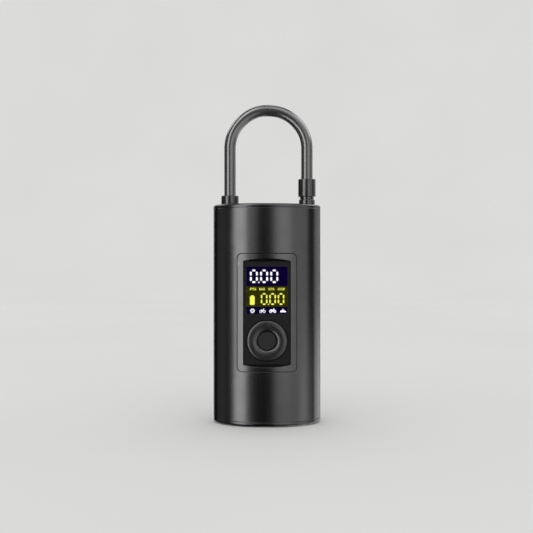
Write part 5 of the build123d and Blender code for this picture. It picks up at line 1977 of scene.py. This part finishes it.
@dataclass
class Underside(EndCap):
    """The bottom cap with its air inlets, four screws and the foot ring."""

    plug_deep: float = 2.0 * MM
    groove_gap: float = 0.12 * MM
    foot_width: float = 3.4 * MM
    foot_sink: float = 0.9 * MM
    foot_round: float = 0.35 * MM
    small_edge: float = 0.15 * MM
    vents: int = 7
    vent_pitch: float = 4.0 * MM
    vent_size: Flat = (16.0 * MM, 1.8 * MM)
    screw_places: tuple[Flat, ...] = (mm(-20, 7.5), mm(20, 7.5), mm(-20, -7.5), mm(20, -7.5))
    screw_radius: float = 1.9 * MM
    screw_shank: float = 1.0 * MM
    cross: Flat = (1.15 * MM, 0.24 * MM)

    def build(self) -> list[Piece]:
        """Makes the cap, the foot ring and the screws."""
        return [self.cap(), self.foot(), self.screws()]

    def cap(self) -> Piece:
        """Makes the cap, with its vents, groove and screw seats cut in.

        Returns:
            The cap.
        """
        low, high = box("bottom_cap")
        base, floor = low.z, low.z + self.foot_sink
        obj = self.body("bottom_cap_rounded", (high.x, high.y), box("housing_sleeve")[0].z, base)
        ring = box("foot_pad")[1]
        wide, slim = self.groove_gap, -self.foot_width - self.groove_gap
        rows = ((wide, base - 2 * MM), (wide, floor), (slim, floor), (slim, base - 2 * MM))
        loops = [oval_loop(ring.x + grow, ring.y + grow, z) for grow, z in rows]
        groove = skin("foot_groove", loops, ring=True)
        seat = plug(self.screw_radius + 0.1 * MM, -3 * MM, self.foot_sink)
        seats = [
            turned("screw_seat", seat, (x, y, base), ring=False, count=40)
            for x, y in self.screw_places
        ]
        cut(obj, groove, self.vent_cutters(base), *seats)
        round_edges(obj, self.small_edge, angle=50)
        return fit(dress(obj, CAP), "cap_black", "bottom_cap")

    def vent_cutters(self, base: float) -> Piece:
        """Makes the row of slots that the vents are cut with, shorter towards its ends.

        Args:
            base: height of the cap's face.

        Returns:
            The cutters, as one piece.
        """
        loops = [
            [(y, x, z) for x, y, z in slot_loop(self.vent_size, (0, 0), height, 8)]
            for height in mm(-4, 6)
        ]
        places = [n - (self.vents - 1) / 2 for n in range(self.vents)]
        points = [(place * self.vent_pitch, 0.0, base) for place in places]
        shorter = 2 * MM / self.vent_size[0]
        stretches = [(1.0, 1.0 - shorter * abs(place), 1.0) for place in places]
        vent = skin("vent", loops, lids=True)
        return spread(self.copies, "vent_tools", vent, points, PARTS_BLACK, stretches)

    def foot(self) -> Piece:
        """Makes the soft foot ring, rounded where it stands.

        Returns:
            The ring.
        """
        low, high = box("foot_pad")
        r, width = self.foot_round, self.foot_width
        outside = [(inward, low.z + up) for inward, up in arc((r, r), r, 270, 180, 5)]
        inside = [(inward, low.z + up) for inward, up in arc((width - r, r), r, 0, -90, 5)]
        rows = [*outside, (0.0, high.z), (width, high.z), *inside]
        loops = [oval_loop(high.x - inward, high.y - inward, z) for inward, z in rows]
        obj = crisp(skin("foot_ring_soft", loops, ring=True))
        return fit(dress(obj, FOOT), "foot_rubber", "foot_pad")

    def screws(self) -> Piece:
        """Makes the four cross-head screws.

        Returns:
            The screws, as one piece.
        """
        tall = extent("bottom_screws")[2]
        r, rim, shank = self.screw_radius, 0.25 * MM, self.screw_shank
        deep = self.foot_sink - 0.1 * MM
        outline = [
            (0, 0.05 * MM), (r * 0.55, 0.0), *arc((r - rim, rim), rim, -90, 0, 4),
            (r, deep), (shank, deep), (shank, tall), (0, tall),
        ]
        head = turned("screw", outline, (0, 0, 0), ring=False, count=40)
        arms = [
            slab("arm", [(-a, -MM), (a, -MM), (a * 0.7, 0.6 * MM), (-a * 0.7, 0.6 * MM)], -b, b)
            for a, b in (self.cross, self.cross[::-1])
        ]
        round_edges(cut(head, *arms), 0.05 * MM, angle=50)
        points = [(x, y, box("bottom_screws")[0].z) for x, y in self.screw_places]
        obj = spread(self.copies, "bottom_screw_set", head, points, SCREW_DARK)
        return fit(obj, "screw_dark", "bottom_screws")


class Works:
    """Everything inside the body, whose CAD shapes are shown as they are."""

    def build(self) -> None:
        """Dresses every CAD node in its slot's finish."""
        slots = {part["node"]: part["material_slot"] for part in frame["record"]["subparts"]}
        for name, obj in frame["nodes"].items():
            materials = obj.data.materials
            if not materials:
                materials.append(None)
            for n in range(len(materials)):
                materials[n] = SLOT_FINISHES[slots[name]].build()
        log.info("dressed %d inner and outer CAD nodes", len(frame["nodes"]))


def main() -> None:
    """Builds the studio and every piece in order, logging face counts as it goes."""
    logging.basicConfig(level=logging.INFO, format="%(name)s: %(message)s")
    studio = Studio()
    studio.camera()
    Works().build()
    Hose().build(Chuck().build())
    copies, strokes = spread_tree(), stroke_tree()
    Casing().build()
    WindowPanel().build()
    Screen(strokes).build()
    Control().build()
    TopEnd(copies).build()
    Underside(copies).build()
    studio.build()


if __name__ == "__main__":
    main()
